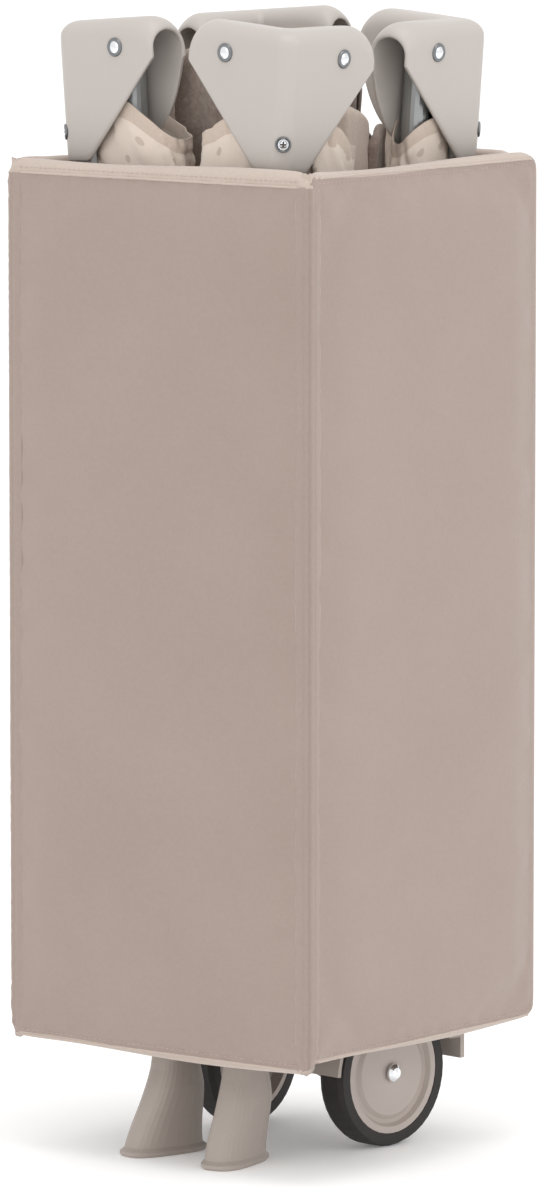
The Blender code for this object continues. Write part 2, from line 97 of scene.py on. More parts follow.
# %% Camera
AZIMUTH, ELEVATION, DISTANCE = math.radians(37.8), math.radians(6.93), 5.915
camera_data = bpy.data.cameras.new("long_lens")
camera_data.lens = 255.8
camera_data.sensor_width = 36
camera_data.sensor_fit = "AUTO"
camera_data.shift_x, camera_data.shift_y = -0.00125, -0.0067
camera_data.clip_end = 60
camera = bpy.data.objects.new("camera", camera_data)
bpy.context.scene.collection.objects.link(camera)
towards = Vector((math.sin(AZIMUTH) * math.cos(ELEVATION), -math.cos(AZIMUTH) * math.cos(ELEVATION),
                  math.sin(ELEVATION)))
camera.location = MIDDLE + towards * DISTANCE
camera.rotation_euler = towards.to_track_quat("Z", "Y").to_euler()
bpy.context.scene.camera = camera
print("camera at", tuple(round(v, 3) for v in camera.location))


# %% Floor that sweeps up into a wall
def paper_sweep(name, depth=14.0, width=28.0, bend=2.5, rise=8.0):
    bm = bmesh.new()
    line = [(-7.0, 0.0), (depth - bend, 0.0)]
    line += [(depth - bend + bend * math.sin(t), bend - bend * math.cos(t))
             for t in (math.pi / 2 * i / 14 for i in range(1, 15))]
    line += [(depth, rise)]
    rows = [[bm.verts.new((x, y, z)) for x in (-width / 2, width / 2)] for y, z in line]
    for a, b in zip(rows, rows[1:]):
        bm.faces.new((a[0], a[1], b[1], b[0]))
    bmesh.ops.rotate(bm, verts=bm.verts, matrix=Matrix.Rotation(AZIMUTH, 3, "Z"))
    mesh = bpy.data.meshes.new(name)
    bm.to_mesh(mesh)
    bm.free()
    mesh.shade_smooth()
    paper = bpy.data.objects.new(name, mesh)
    bpy.context.scene.collection.objects.link(paper)
    paper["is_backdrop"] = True
    return paper


paper = paper_sweep("paper_sweep")
paper_finish = bpy.data.materials.new("white_paper")
paper_finish.use_nodes = True
shader = paper_finish.node_tree.nodes["Principled BSDF"]
shader.inputs["Base Color"].default_value = (0.97, 0.97, 0.97, 1)
shader.inputs["Roughness"].default_value = 0.85
shader.inputs["Emission Color"].default_value = (1, 1, 1, 1)
shader.inputs["Emission Strength"].default_value = 0.12
paper.data.materials.append(paper_finish)
print("paper", len(paper.data.polygons), "faces")


# %% Soft studio light
def soft_box(name, azimuth, height, reach, size, power, aim=MIDDLE):
    lamp = bpy.data.lights.new(name, "AREA")
    lamp.shape = "SQUARE"
    lamp.size = size
    lamp.energy = power
    made = bpy.data.objects.new(name, lamp)
    turn = AZIMUTH + math.radians(azimuth)
    made.location = Vector((math.sin(turn) * reach, -math.cos(turn) * reach, height))
    made.rotation_euler = (made.location - aim).to_track_quat("Z", "Y").to_euler()
    bpy.context.scene.collection.objects.link(made)
    return made


soft_box("key_light", 52, 2.4, 2.6, 1.8, 12)
soft_box("fill_light", -42, 1.8, 2.8, 2.2, 7)
soft_box("top_light", 10, 3.2, 0.6, 1.6, 16)
studio = bpy.data.worlds.new("studio")
studio.use_nodes = True
background = studio.node_tree.nodes["Background"]
background.inputs["Color"].default_value = (1.0, 1.0, 1.0, 1)
background.inputs["Strength"].default_value = 1.0
bpy.context.scene.world = studio
bpy.context.scene.view_settings.view_transform = "Standard"
print("lights", [lamp.name for lamp in bpy.data.lights])

# %% [markdown]
# ## Finishes
# Three effects come back in many finishes, so each is one node group: a fine weave, a moulded
# grain and a broad mottling. They put out colours and heights only. The shader itself stays in
# each material, where it can be given its own gloss and sheen.


# %% A small helper for node trees
def linear(r, g, b):
    """A colour given 0 to 255, to the linear value a shader wants."""
    def one(c):
        c /= 255
        return c / 12.92 if c <= 0.04045 else ((c + 0.055) / 1.055) ** 2.4
    return (one(r), one(g), one(b), 1.0)


def new_group(name, inputs, outputs):
    tree = bpy.data.node_groups.new(name, "ShaderNodeTree")
    for label, kind, value in inputs:
        socket = tree.interface.new_socket(label, in_out="INPUT", socket_type=kind)
        if value is not None:
            socket.default_value = value
    for label, kind in outputs:
        tree.interface.new_socket(label, in_out="OUTPUT", socket_type=kind)
    return tree, tree.nodes.new("NodeGroupInput"), tree.nodes.new("NodeGroupOutput")


def add_node(tree, kind, settings=None, **values):
    node = tree.nodes.new(kind)
    for key, value in (settings or {}).items():
        setattr(node, key, value)
    for key, value in values.items():
        node.inputs[key.replace("_", " ")].default_value = value
    return node


def maths(tree, operation, a, b=None, c=None):
    node = tree.nodes.new("ShaderNodeMath")
    node.operation = operation
    for socket, value in zip(node.inputs, (a, b, c)):
        if value is None:
            continue
        if isinstance(value, (int, float)):
            socket.default_value = value
        else:
            tree.links.new(value, socket)
    return node.outputs[0]


# %% Weave: two sets of threads that cross, with a slub here and there
def build_weave():
    tree, given, result = new_group(
        "weave", [("Vector", "NodeSocketVector", None), ("Thread", "NodeSocketFloat", 0.0009),
                  ("Slub", "NodeSocketFloat", 0.35)],
        [("Height", "NodeSocketFloat"), ("Shade", "NodeSocketFloat")])
    split = tree.nodes.new("ShaderNodeSeparateXYZ")
    tree.links.new(given.outputs["Vector"], split.inputs[0])
    turns = maths(tree, "DIVIDE", 2 * math.pi, given.outputs["Thread"])
    across = maths(tree, "SINE", maths(tree, "MULTIPLY", split.outputs["X"], turns))
    along = maths(tree, "SINE", maths(tree, "MULTIPLY", split.outputs["Y"], turns))
    cloth = maths(tree, "MULTIPLY_ADD", maths(tree, "MULTIPLY", across, along), 0.5, 0.5)
    slub = add_node(tree, "ShaderNodeTexNoise", Scale=900.0, Detail=3.0)
    tree.links.new(given.outputs["Vector"], slub.inputs["Vector"])
    uneven = maths(tree, "MULTIPLY", slub.outputs["Fac"], given.outputs["Slub"])
    tree.links.new(maths(tree, "ADD", cloth, uneven), result.inputs["Height"])
    tree.links.new(slub.outputs["Fac"], result.inputs["Shade"])
    return tree


WEAVE = build_weave()
print("group", WEAVE.name, len(WEAVE.nodes), "nodes")


# %% Mottle: broad, faint variation of a colour, as dye and handling leave it
def build_mottle():
    tree, given, result = new_group(
        "mottle", [("Vector", "NodeSocketVector", None), ("Colour", "NodeSocketColor", (0.5, 0.5, 0.5, 1)),
                   ("Second", "NodeSocketColor", (0.4, 0.4, 0.4, 1)), ("Scale", "NodeSocketFloat", 9.0),
                   ("Fine", "NodeSocketFloat", 400.0)],
        [("Colour", "NodeSocketColor"), ("Mask", "NodeSocketFloat")])
    broad = add_node(tree, "ShaderNodeTexNoise", Detail=4.0, Roughness=0.55)
    fine = add_node(tree, "ShaderNodeTexNoise", Detail=2.0)
    for node, size in ((broad, "Scale"), (fine, "Fine")):
        tree.links.new(given.outputs["Vector"], node.inputs["Vector"])
        tree.links.new(given.outputs[size], node.inputs["Scale"])
    both = maths(tree, "MULTIPLY_ADD", fine.outputs["Fac"], 0.45, maths(tree, "MULTIPLY", broad.outputs["Fac"], 0.6))
    spread = add_node(tree, "ShaderNodeMapRange")
    spread.inputs["From Min"].default_value = 0.32
    spread.inputs["From Max"].default_value = 0.74
    tree.links.new(both, spread.inputs["Value"])
    mix = add_node(tree, "ShaderNodeMix", {"data_type": "RGBA"})
    tree.links.new(spread.outputs["Result"], mix.inputs["Factor"])
    tree.links.new(given.outputs["Colour"], mix.inputs["A"])
    tree.links.new(given.outputs["Second"], mix.inputs["B"])
    tree.links.new(mix.outputs["Result"], result.inputs["Colour"])
    tree.links.new(spread.outputs["Result"], result.inputs["Mask"])
    return tree


MOTTLE = build_mottle()
print("group", MOTTLE.name, len(MOTTLE.nodes), "nodes")


# %% [markdown]
# The taupe cover is a tight polyester weave. From a metre away the threads are not seen, only
# their soft sheen and a faint unevenness, so the colour varies by a few percent at most and
# the weave itself is a small bump.

# %% Cloth finishes
def cloth(name, colour, second, thread=0.0009, bump=0.25, sheen=0.35, rough=0.85, scale=9.0):
    made = bpy.data.materials.new(name)
    made.use_nodes = True
    tree = made.node_tree
    shader = tree.nodes["Principled BSDF"]
    place = tree.nodes.new("ShaderNodeTexCoord")
    tint = add_node(tree, "ShaderNodeGroup", {"node_tree": MOTTLE}, Colour=colour, Second=second, Scale=scale)
    weave = add_node(tree, "ShaderNodeGroup", {"node_tree": WEAVE}, Thread=thread)
    relief = add_node(tree, "ShaderNodeBump", Strength=bump, Distance=0.0004)
    tree.links.new(place.outputs["Object"], tint.inputs["Vector"])
    tree.links.new(place.outputs["UV"], weave.inputs["Vector"])
    tree.links.new(tint.outputs["Colour"], shader.inputs["Base Color"])
    tree.links.new(weave.outputs["Height"], relief.inputs["Height"])
    tree.links.new(relief.outputs["Normal"], shader.inputs["Normal"])
    shader.inputs["Roughness"].default_value = rough
    shader.inputs["Sheen Weight"].default_value = sheen
    shader.inputs["Sheen Roughness"].default_value = 0.5
    shader.inputs["Specular IOR Level"].default_value = 0.25
    return made


TAUPE = cloth("taupe_cover", linear(163, 146, 137), linear(156, 139, 130))
RIM = cloth("rim_binding", linear(195, 180, 169), linear(186, 170, 159), thread=0.0007)
THREAD = cloth("sewing_thread", linear(184, 168, 158), linear(172, 156, 146), thread=0.0003, bump=0.5)
MELANGE = cloth("melange_loop", linear(168, 152, 142), linear(132, 117, 108), thread=0.0008, bump=0.4, scale=240.0)
BINDING = cloth("sleeve_binding", linear(208, 192, 178), linear(196, 179, 165), thread=0.0006)
LINING = cloth("plain_lining", linear(206, 190, 177), linear(188, 171, 158), thread=0.0008)
print("cloths", [m.name for m in bpy.data.materials][-6:])


# %% [markdown]
# The sleeves round the rails are a cream knit with small printed dots. The dots sit on a grid
# that follows the cloth, so they read the sleeve's own UV map, laid out in metres.

# %% Dotted knit
def dotted(name, ground, dot, pitch=0.0215, radius=0.0031):
    made = cloth(name, ground, tuple(c * 0.95 for c in ground[:3]) + (1.0,), thread=0.0008, bump=0.3)
    tree = made.node_tree
    shader = tree.nodes["Principled BSDF"]
    place = next(n for n in tree.nodes if n.type == "TEX_COORD")
    split = tree.nodes.new("ShaderNodeSeparateXYZ")
    tree.links.new(place.outputs["UV"], split.inputs[0])
    row = maths(tree, "FLOOR", maths(tree, "DIVIDE", split.outputs["Y"], pitch * 0.86))
    offset = maths(tree, "MULTIPLY", maths(tree, "PINGPONG", row, 1.0), pitch / 2)
    shifted = maths(tree, "ADD", split.outputs["X"], offset)
    u = maths(tree, "SUBTRACT", maths(tree, "FLOORED_MODULO", shifted, pitch), pitch / 2)
    v = maths(tree, "SUBTRACT", maths(tree, "FLOORED_MODULO", split.outputs["Y"], pitch * 0.86), pitch * 0.43)
    reach = maths(tree, "SQRT", maths(tree, "ADD", maths(tree, "MULTIPLY", u, u), maths(tree, "MULTIPLY", v, v)))
    edge = add_node(tree, "ShaderNodeMapRange", {"interpolation_type": "SMOOTHSTEP"})
    edge.inputs["From Min"].default_value = radius
    edge.inputs["From Max"].default_value = radius * 0.8
    tree.links.new(reach, edge.inputs["Value"])
    mix = add_node(tree, "ShaderNodeMix", {"data_type": "RGBA"})
    under = shader.inputs["Base Color"].links[0].from_socket
    tree.links.new(edge.outputs["Result"], mix.inputs["Factor"])
    tree.links.new(under, mix.inputs["A"])
    mix.inputs["B"].default_value = dot
    tree.links.new(mix.outputs["Result"], shader.inputs["Base Color"])
    return made


DOTTED = dotted("dotted_knit", linear(226, 212, 199), linear(200, 184, 170))
print("dotted knit ready")


# %% [markdown]
# Moulded plastic has a fine spark-eroded grain that breaks up its gloss. Edges that are handled
# turn a little paler. Bare steel, chrome and rubber each get their own small irregularities.

# %% Moulded grain as a group
def build_grain():
    tree, given, result = new_group(
        "moulded_grain", [("Vector", "NodeSocketVector", None), ("Colour", "NodeSocketColor", (0.5, 0.5, 0.5, 1)),
                          ("Worn", "NodeSocketColor", (0.6, 0.6, 0.6, 1)), ("Rough", "NodeSocketFloat", 0.45),
                          ("Grain", "NodeSocketFloat", 1800.0)],
        [("Colour", "NodeSocketColor"), ("Roughness", "NodeSocketFloat"), ("Height", "NodeSocketFloat")])
    grain = add_node(tree, "ShaderNodeTexNoise", Detail=2.0)
    cloudy = add_node(tree, "ShaderNodeTexNoise", Scale=14.0, Detail=5.0)
    for node in (grain, cloudy):
        tree.links.new(given.outputs["Vector"], node.inputs["Vector"])
    tree.links.new(given.outputs["Grain"], grain.inputs["Scale"])
    shape = tree.nodes.new("ShaderNodeNewGeometry")
    worn = add_node(tree, "ShaderNodeMapRange")
    worn.inputs["From Min"].default_value = 0.53
    worn.inputs["From Max"].default_value = 0.66
    tree.links.new(shape.outputs["Pointiness"], worn.inputs["Value"])
    faint = maths(tree, "MULTIPLY", worn.outputs["Result"], 0.5)
    mix = add_node(tree, "ShaderNodeMix", {"data_type": "RGBA"})
    tree.links.new(faint, mix.inputs["Factor"])
    tree.links.new(given.outputs["Colour"], mix.inputs["A"])
    tree.links.new(given.outputs["Worn"], mix.inputs["B"])
    tree.links.new(mix.outputs["Result"], result.inputs["Colour"])
    base = maths(tree, "SUBTRACT", given.outputs["Rough"], 0.08)
    uneven = maths(tree, "MULTIPLY_ADD", cloudy.outputs["Fac"], 0.16, base)
    tree.links.new(uneven, result.inputs["Roughness"])
    tree.links.new(grain.outputs["Fac"], result.inputs["Height"])
    return tree


GRAIN = build_grain()


def moulded(name, colour, worn, rough=0.45, grain=1800.0, bump=0.12, metallic=0.0, coat=0.0):
    made = bpy.data.materials.new(name)
    made.use_nodes = True
    tree = made.node_tree
    shader = tree.nodes["Principled BSDF"]
    place = tree.nodes.new("ShaderNodeTexCoord")
    surface = add_node(tree, "ShaderNodeGroup", {"node_tree": GRAIN},
                       Colour=colour, Worn=worn, Rough=rough, Grain=grain)
    relief = add_node(tree, "ShaderNodeBump", Strength=bump, Distance=0.0003)
    tree.links.new(place.outputs["Object"], surface.inputs["Vector"])
    tree.links.new(surface.outputs["Colour"], shader.inputs["Base Color"])
    tree.links.new(surface.outputs["Roughness"], shader.inputs["Roughness"])
    tree.links.new(surface.outputs["Height"], relief.inputs["Height"])
    tree.links.new(relief.outputs["Normal"], shader.inputs["Normal"])
    shader.inputs["Metallic"].default_value = metallic
    shader.inputs["Coat Weight"].default_value = coat
    return made


HEAD_SHELL = moulded("head_shell", linear(185, 178, 172), linear(201, 195, 189), 0.42)
FOOT_SHELL = moulded("foot_shell", linear(168, 157, 149), linear(184, 174, 166), 0.5)
WHEEL_DISC = moulded("wheel_disc", linear(180, 168, 161), linear(195, 184, 177), 0.45)
# The dark moulding is also the painted shade inside the screws' cross recesses.
DARK_MOULDING_AND_PAINTED_SHADE = moulded("dark_moulding_and_painted_shade", linear(92, 84, 80), linear(112, 104, 99), 0.5)
TUBE = moulded("powder_coated_tube", linear(150, 152, 152), linear(176, 178, 178), 0.32, 2600.0, 0.06, 0.75, 0.2)
CHROME = moulded("polished_chrome", linear(232, 234, 236), linear(245, 246, 248), 0.14, 900.0, 0.02, 1.0)
STEEL_RING = moulded("dark_steel_ring", linear(120, 122, 124), linear(150, 152, 154), 0.3, 900.0, 0.02, 0.9)
TYRE = moulded("tyre_rubber", linear(34, 30, 29), linear(62, 57, 55), 0.68, 1400.0, 0.3)
print("moulded finishes", HEAD_SHELL.name, FOOT_SHELL.name, TUBE.name)

# %% Finishes on the rigid frame
FINISH_OF = [("head_", HEAD_SHELL), ("post_", TUBE), ("long_rail_pin", CHROME), ("short_rail_pin", CHROME),
             ("long_rail_", TUBE), ("short_rail_", TUBE), ("latch_button", DARK_MOULDING_AND_PAINTED_SHADE), ("latch_", FOOT_SHELL),
             ("hub_handle", DARK_MOULDING_AND_PAINTED_SHADE), ("hub", FOOT_SHELL), ("floor_arm", TUBE), ("foot_", FOOT_SHELL),
             ("wheel_bracket", FOOT_SHELL), ("wheel_hub", WHEEL_DISC), ("tyre", TYRE), ("axle", CHROME),
             ("wrap_panel", TAUPE), ("wall_fabric", MELANGE), ("floor_fabric", LINING)]
for node_name, node in frame["nodes"].items():
    finish = next(material for start, material in FINISH_OF if node_name.startswith(start))
    for slot in node.material_slots:
        slot.material = finish
print("finished", len(frame["nodes"]), "frame parts")

# %% [markdown]
# ## The padded wrap
# Each panel is a foam board in a sewn cover. The cover is pulled round the board, so its faces
# are nearly flat, swell a little in the middle, and pucker where they are sewn. The board is
# drawn as a closed grid with rounded rims. A short cloth simulation then lets the slightly
# oversized cover swell and settle, and only small moves are kept.


# %% A grid that is finer near the rims
def spaced(length, step=0.0095):
    near = [0, 0.0009, 0.0022, 0.004, 0.0065, 0.0095, 0.0125]
    count = max(2, round((length - 2 * near[-1]) / step))
    middle = [near[-1] + (length - 2 * near[-1]) * i / count for i in range(count + 1)]
    return near[:-1] + middle + [length - d for d in reversed(near[:-1])]


def recess(distance, radius):
    """How far a face drops back at this distance from a rounded rim."""
    if distance >= radius:
        return 0.0
    return radius - math.sqrt(max(0.0, radius * radius - (radius - distance) ** 2))


class Panel:
    """Where one panel of the wrap stands, and how its ends are cut."""

    def __init__(self, name, origin, across, outward, width, mitres, corner=0.012):
        self.name, self.origin, self.across, self.outward = name, Vector(origin), Vector(across), Vector(outward)
        self.width, self.mitres, self.corner = width, mitres, corner

    def rounded(self, s, t):
        """Rounds the corners of the board, more at its free end."""
        for far_s in (False, True):
            free = not self.mitres[1 if far_s else 0]
            radius = 0.014 if free else self.corner
            for far_t in (False, True):
                a = (s - (self.width - radius)) / radius if far_s else (radius - s) / radius
                b = (t - (TALL - radius)) / radius if far_t else (radius - t) / radius
                if a > 0 and b > 0:
                    a, b = a * math.sqrt(1 - b * b / 2), b * math.sqrt(1 - a * a / 2)
                    s = self.width - radius + a * radius if far_s else radius - a * radius
                    t = TALL - radius + b * radius if far_t else radius - b * radius
        return s, t

    def point(self, s, t, depth):
        """A place on the board, at a depth below its outer face."""
        return self.origin + self.across * s + Vector((0, 0, LOW + t)) - self.outward * depth

    def outer(self, s, t):
        drop = min(PAD * 0.48, recess(min(t, TALL - t), 0.0065) +
                   recess(s, 0.0045 if self.mitres[0] else 0.0065) +
                   recess(self.width - s, 0.0045 if self.mitres[1] else 0.0065))
        s, t = self.rounded(s, t)
        return self.point(s, t, drop)

    def inner(self, s, t):
        drop = min(PAD * 0.48, recess(min(t, TALL - t), 0.0065) +
                   sum(recess(d, 0.003) for d in (s, self.width - s)))
        s, t = self.rounded(s, t)
        first, last = (PAD + 0.0008 if cut else 0.0 for cut in self.mitres)
        s = first + s * (self.width - first - last) / self.width
        return self.point(s, t, PAD - drop)


PANELS = [Panel("front", (-HALF, -HALF, 0), (1, 0, 0), (0, -1, 0), 2 * HALF, (True, True)),
          Panel("right", (HALF, -HALF, 0), (0, 1, 0), (1, 0, 0), 2 * HALF, (True, False)),
          Panel("left", (-HALF, -HALF, 0), (0, 1, 0), (-1, 0, 0), 2 * HALF, (True, True)),
          Panel("back", (-HALF, HALF, 0), (1, 0, 0), (0, 1, 0),
                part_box("wrap_panel_back")[1][0] + HALF, (True, False))]
print("panels", [panel.name for panel in PANELS])


# %% Small helpers for meshes
def clamp(x):
    return max(0.0, min(1.0, x))


def ease(x):
    """0 to 1 with a soft start and a soft end."""
    return x * x * (3 - 2 * x)


def to_object(name, bm, material=None, smooth=True):
    mesh = bpy.data.meshes.new(name)
    bm.to_mesh(mesh)
    bm.free()
    if smooth:
        mesh.shade_smooth()
    made = bpy.data.objects.new(name, mesh)
    bpy.context.scene.collection.objects.link(made)
    if material:
        mesh.materials.append(material)
    return made


def keep_result(piece):
    """Keeps what a piece's modifiers make as its plain mesh."""
    bpy.context.view_layer.update()
    graph = bpy.context.evaluated_depsgraph_get()
    piece.data = bpy.data.meshes.new_from_object(piece.evaluated_get(graph))
    piece.modifiers.clear()


def thicken(piece, thickness, offset=-1):
    wall = piece.modifiers.new("wall", "SOLIDIFY")
    wall.thickness, wall.offset = thickness, offset


def quad(bm, uv, corners, places):
    """One face with its place on the cloth at each corner."""
    face = bm.faces.new(corners)
    for loop, place in zip(face.loops, places):
        loop[uv].uv = place
    return face


# %% The board as a closed mesh
def board(panel):
    bm = bmesh.new()
    uv = bm.loops.layers.uv.new("UVMap")
    columns, rows = spaced(panel.width), spaced(TALL)
    layers = []
    for side in (panel.outer, panel.inner):
        layers.append([[bm.verts.new(side(s, t)) for t in rows] for s in columns])
    last_i, last_j = len(columns) - 1, len(rows) - 1
    for layer in layers:
        for i in range(last_i):
            for j in range(last_j):
                square = ((i, j), (i + 1, j), (i + 1, j + 1), (i, j + 1))
                quad(bm, uv, [layer[a][b] for a, b in square], [(columns[a], rows[b]) for a, b in square])
    ring = [(i, 0) for i in range(last_i)] + [(last_i, j) for j in range(last_j)]
    ring += [(i, last_j) for i in range(last_i, 0, -1)] + [(0, j) for j in range(last_j, 0, -1)]
    for (a, b), (c, d) in zip(ring, ring[1:] + ring[:1]):
        quad(bm, uv, (layers[0][a][b], layers[0][c][d], layers[1][c][d], layers[1][a][b]),
             [(columns[p], rows[q]) for p, q in ((a, b), (c, d), (c, d), (a, b))])
    bmesh.ops.recalc_face_normals(bm, faces=bm.faces)
    return to_object("pad_" + panel.name, bm, TAUPE)


# %% [markdown]
# The simulation holds the rims and the inner face and blows the outer face out gently. The
# cover is a little larger than the board, so it wrinkles at the seams as it settles. Each point
# may then keep at most a few millimetres of its move.

# %% Swelling the covers
def inflate(piece, free, pressure=3.0, spare=0.012, limit=0.004, frames=18):
    """Runs cloth on a copy, then keeps each point's move up to a limit. free is 0 to 1 per point."""
    rest = [v.co.copy() for v in piece.data.vertices]
    pins = piece.vertex_groups.new(name="held")
    for v in piece.data.vertices:
        pins.add([v.index], 1.0 - min(1.0, free[v.index]), "REPLACE")
    cover = piece.modifiers.new("cover", "CLOTH")
    cover.settings.quality = 5
    cover.settings.mass = 0.15
    cover.settings.use_pressure = True
    cover.settings.uniform_pressure_force = pressure
    cover.settings.effector_weights.gravity = 0
    cover.settings.vertex_group_mass = "held"
    cover.settings.shrink_min = -spare
    cover.settings.bending_stiffness = 0.3
    cover.collision_settings.use_collision = False
    cover.point_cache.frame_start, cover.point_cache.frame_end = 1, frames
    for number in range(1, frames + 1):
        bpy.context.scene.frame_set(number)
    graph = bpy.context.evaluated_depsgraph_get()
    settled = piece.evaluated_get(graph).to_mesh()
    moved = [v.co.copy() for v in settled.vertices]
    piece.evaluated_get(graph).to_mesh_clear()
    piece.modifiers.remove(cover)
    piece.vertex_groups.clear()
    for v, new in zip(piece.data.vertices, moved):
        move = new - rest[v.index]
        if move.length > limit:
            move *= limit * (1 + 0.25 * math.tanh(move.length / limit - 1)) / move.length
        v.co = rest[v.index] + move
    bpy.context.scene.frame_set(1)
    return piece


def distances(panel, point):
    """How far a point of a panel is from the start, the end, the lower rim and the upper rim."""
    s = (point - panel.origin).dot(panel.across)
    t = point.z - LOW
    depth = -(point - panel.origin).dot(panel.outward)
    return s, panel.width - s, t, TALL - t, depth


PADS = {}
for panel in PANELS:
    pad = board(panel)
    free = []
    for v in pad.data.vertices:
        a, b, c, d, depth = distances(panel, v.co)
        edge = min(a, b, c, d)
        loose = clamp((edge - 0.006) / 0.012)
        free.append(loose if depth < PAD * 0.3 else 0.0)
    inflate(pad, free)
    PADS[panel.name] = pad
    print(pad.name, len(pad.data.polygons), "faces, thickest", round(max(
        -distances(panel, v.co)[4] for v in pad.data.vertices), 4))


# %% [markdown]
# ## Rims, seams and stitches
# The taupe cover stops a centimetre short of most upper rims, where a paler binding is sewn on,
# and a few millimetres short of the others. It is the same mesh with a second finish, and a thin
# roll of cloth hides the join. Stitches repeat hundreds of times, so a Geometry Nodes tree sets
# them along any line.

# %% The paler binding on each pad
BINDING_WIDTH, LOWER_BINDING = 0.0095, 0.0036   # the paler band above, the narrow piping below


def upper_binding(panel):
    """The right panel shows only a narrow piping at its top; the others show a band."""
    return LOWER_BINDING if panel.name == "right" else BINDING_WIDTH


def bind_rims(panel, pad):
    """Gives the rim, its edge and the inner face the paler cloth."""
    mesh = pad.data
    mesh.materials.append(RIM)
    for face in mesh.polygons:
        s0, s1, t0, t1, depth = distances(panel, face.center)
        free_end = not panel.mitres[1] and s1 < 0.004
        if t1 < upper_binding(panel) or t0 < LOWER_BINDING or depth > PAD * 0.35 or free_end:
            face.material_index = 1
    return sum(face.material_index for face in mesh.polygons)


def gather(panel, pad):
    """Small creases where the rims meet the sewn corners, and a slow wave along the rims."""
    for v in pad.data.vertices:
        s0, s1, t0, t1, depth = distances(panel, v.co)
        sewn = min(s0 if panel.mitres[0] else 9, s1 if panel.mitres[1] else 9)
        rim = min(t0, t1)
        near = math.exp(-(sewn / 0.030) ** 2) * math.exp(-(rim / 0.014) ** 2)
        crease = noise.noise(Vector((s0 * 190, t0 * 60, depth * 60 + panel.width))) * 0.0016 * near
        wave = 0.0013 * math.sin(s0 * 24 + 3 * panel.width + (0 if t0 < t1 else 2)) * math.exp(-rim / 0.03)
        dimple = noise.noise(Vector((s0 * 34, t0 * 9, 3.1))) * 0.0007 * math.exp(-((sewn - 0.02) / 0.03) ** 2)
        v.co += panel.outward * (crease + dimple) + Vector((0, 0, crease * 0.8 + wave))


for panel in PANELS:
    print(panel.name, "bound faces", bind_rims(panel, PADS[panel.name]))
    gather(panel, PADS[panel.name])


# %% A tree that sews stitches along a line
def stitch_tree():
    tree = bpy.data.node_groups.new("stitches", "GeometryNodeTree")
    tree.interface.new_socket("Geometry", in_out="INPUT", socket_type="NodeSocketGeometry")
    for label, value in (("Spacing", 0.0042), ("Length", 0.0030), ("Thickness", 0.00055)):
        tree.interface.new_socket(label, in_out="INPUT", socket_type="NodeSocketFloat").default_value = value
    tree.interface.new_socket("Finish", in_out="INPUT", socket_type="NodeSocketMaterial")
    tree.interface.new_socket("Geometry", in_out="OUTPUT", socket_type="NodeSocketGeometry")
    link = tree.links.new
    given, result = tree.nodes.new("NodeGroupInput"), tree.nodes.new("NodeGroupOutput")
    line = tree.nodes.new("GeometryNodeMeshToCurve")
    even = tree.nodes.new("GeometryNodeResampleCurve")
    even.mode = "LENGTH"
    tangent = tree.nodes.new("GeometryNodeInputTangent")
    turn = tree.nodes.new("FunctionNodeAlignRotationToVector")
    turn.axis = "Z"
    thread = tree.nodes.new("GeometryNodeMeshUVSphere")
    thread.inputs["Segments"].default_value = 6
    thread.inputs["Rings"].default_value = 4
    thread.inputs["Radius"].default_value = 0.5
    size = tree.nodes.new("ShaderNodeCombineXYZ")
    put = tree.nodes.new("GeometryNodeInstanceOnPoints")
    real = tree.nodes.new("GeometryNodeRealizeInstances")
    paint = tree.nodes.new("GeometryNodeSetMaterial")
    link(given.outputs["Geometry"], line.inputs["Mesh"])
    link(line.outputs["Curve"], even.inputs["Curve"])
    link(given.outputs["Spacing"], even.inputs["Length"])
    link(tangent.outputs[0], turn.inputs["Vector"])
    for axis in "XY":
        link(given.outputs["Thickness"], size.inputs[axis])
    link(given.outputs["Length"], size.inputs["Z"])
    link(even.outputs["Curve"], put.inputs["Points"])
    link(thread.outputs["Mesh"], put.inputs["Instance"])
    link(turn.outputs["Rotation"], put.inputs["Rotation"])
    link(size.outputs[0], put.inputs["Scale"])
    link(put.outputs["Instances"], real.inputs["Geometry"])
    link(real.outputs["Geometry"], paint.inputs["Geometry"])
    link(given.outputs["Finish"], paint.inputs["Material"])
    link(paint.outputs["Geometry"], result.inputs["Geometry"])
    return tree


STITCHES = stitch_tree()


def grown(name, base, tree, **values):
    """Runs a Geometry Nodes tree on a base object and keeps the result as a plain mesh."""
    growth = base.modifiers.new("growth", "NODES")
    growth.node_group = tree
    for item in tree.interface.items_tree:
        if item.item_type == "SOCKET" and item.in_out == "INPUT" and item.name in values:
            growth[item.identifier] = values[item.name]
    bpy.context.view_layer.update()
    graph = bpy.context.evaluated_depsgraph_get()
    mesh = bpy.data.meshes.new_from_object(base.evaluated_get(graph))
    bpy.data.objects.remove(base)
    mesh.name = name
    mesh.shade_smooth()
    made = bpy.data.objects.new(name, mesh)
    bpy.context.scene.collection.objects.link(made)
    return made


def lines_object(name, lines):
    """Open lines of points as one mesh of edges."""
    bm = bmesh.new()
    for line in lines:
        points = [bm.verts.new(p) for p in line]
        for a, b in zip(points, points[1:]):
            bm.edges.new((a, b))
    return to_object(name, bm, smooth=False)


def sewn(name, lines, body, finish=THREAD, **sizes):
    values = {"Spacing": 0.0042, "Length": 0.0030, "Thickness": 0.0006, "Finish": finish}
    values.update(sizes)
    made = grown(name, lines_object(name + "_line", lines), STITCHES, **values)
    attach(made, body)
    print(name, len(made.data.polygons), "faces")
    return made


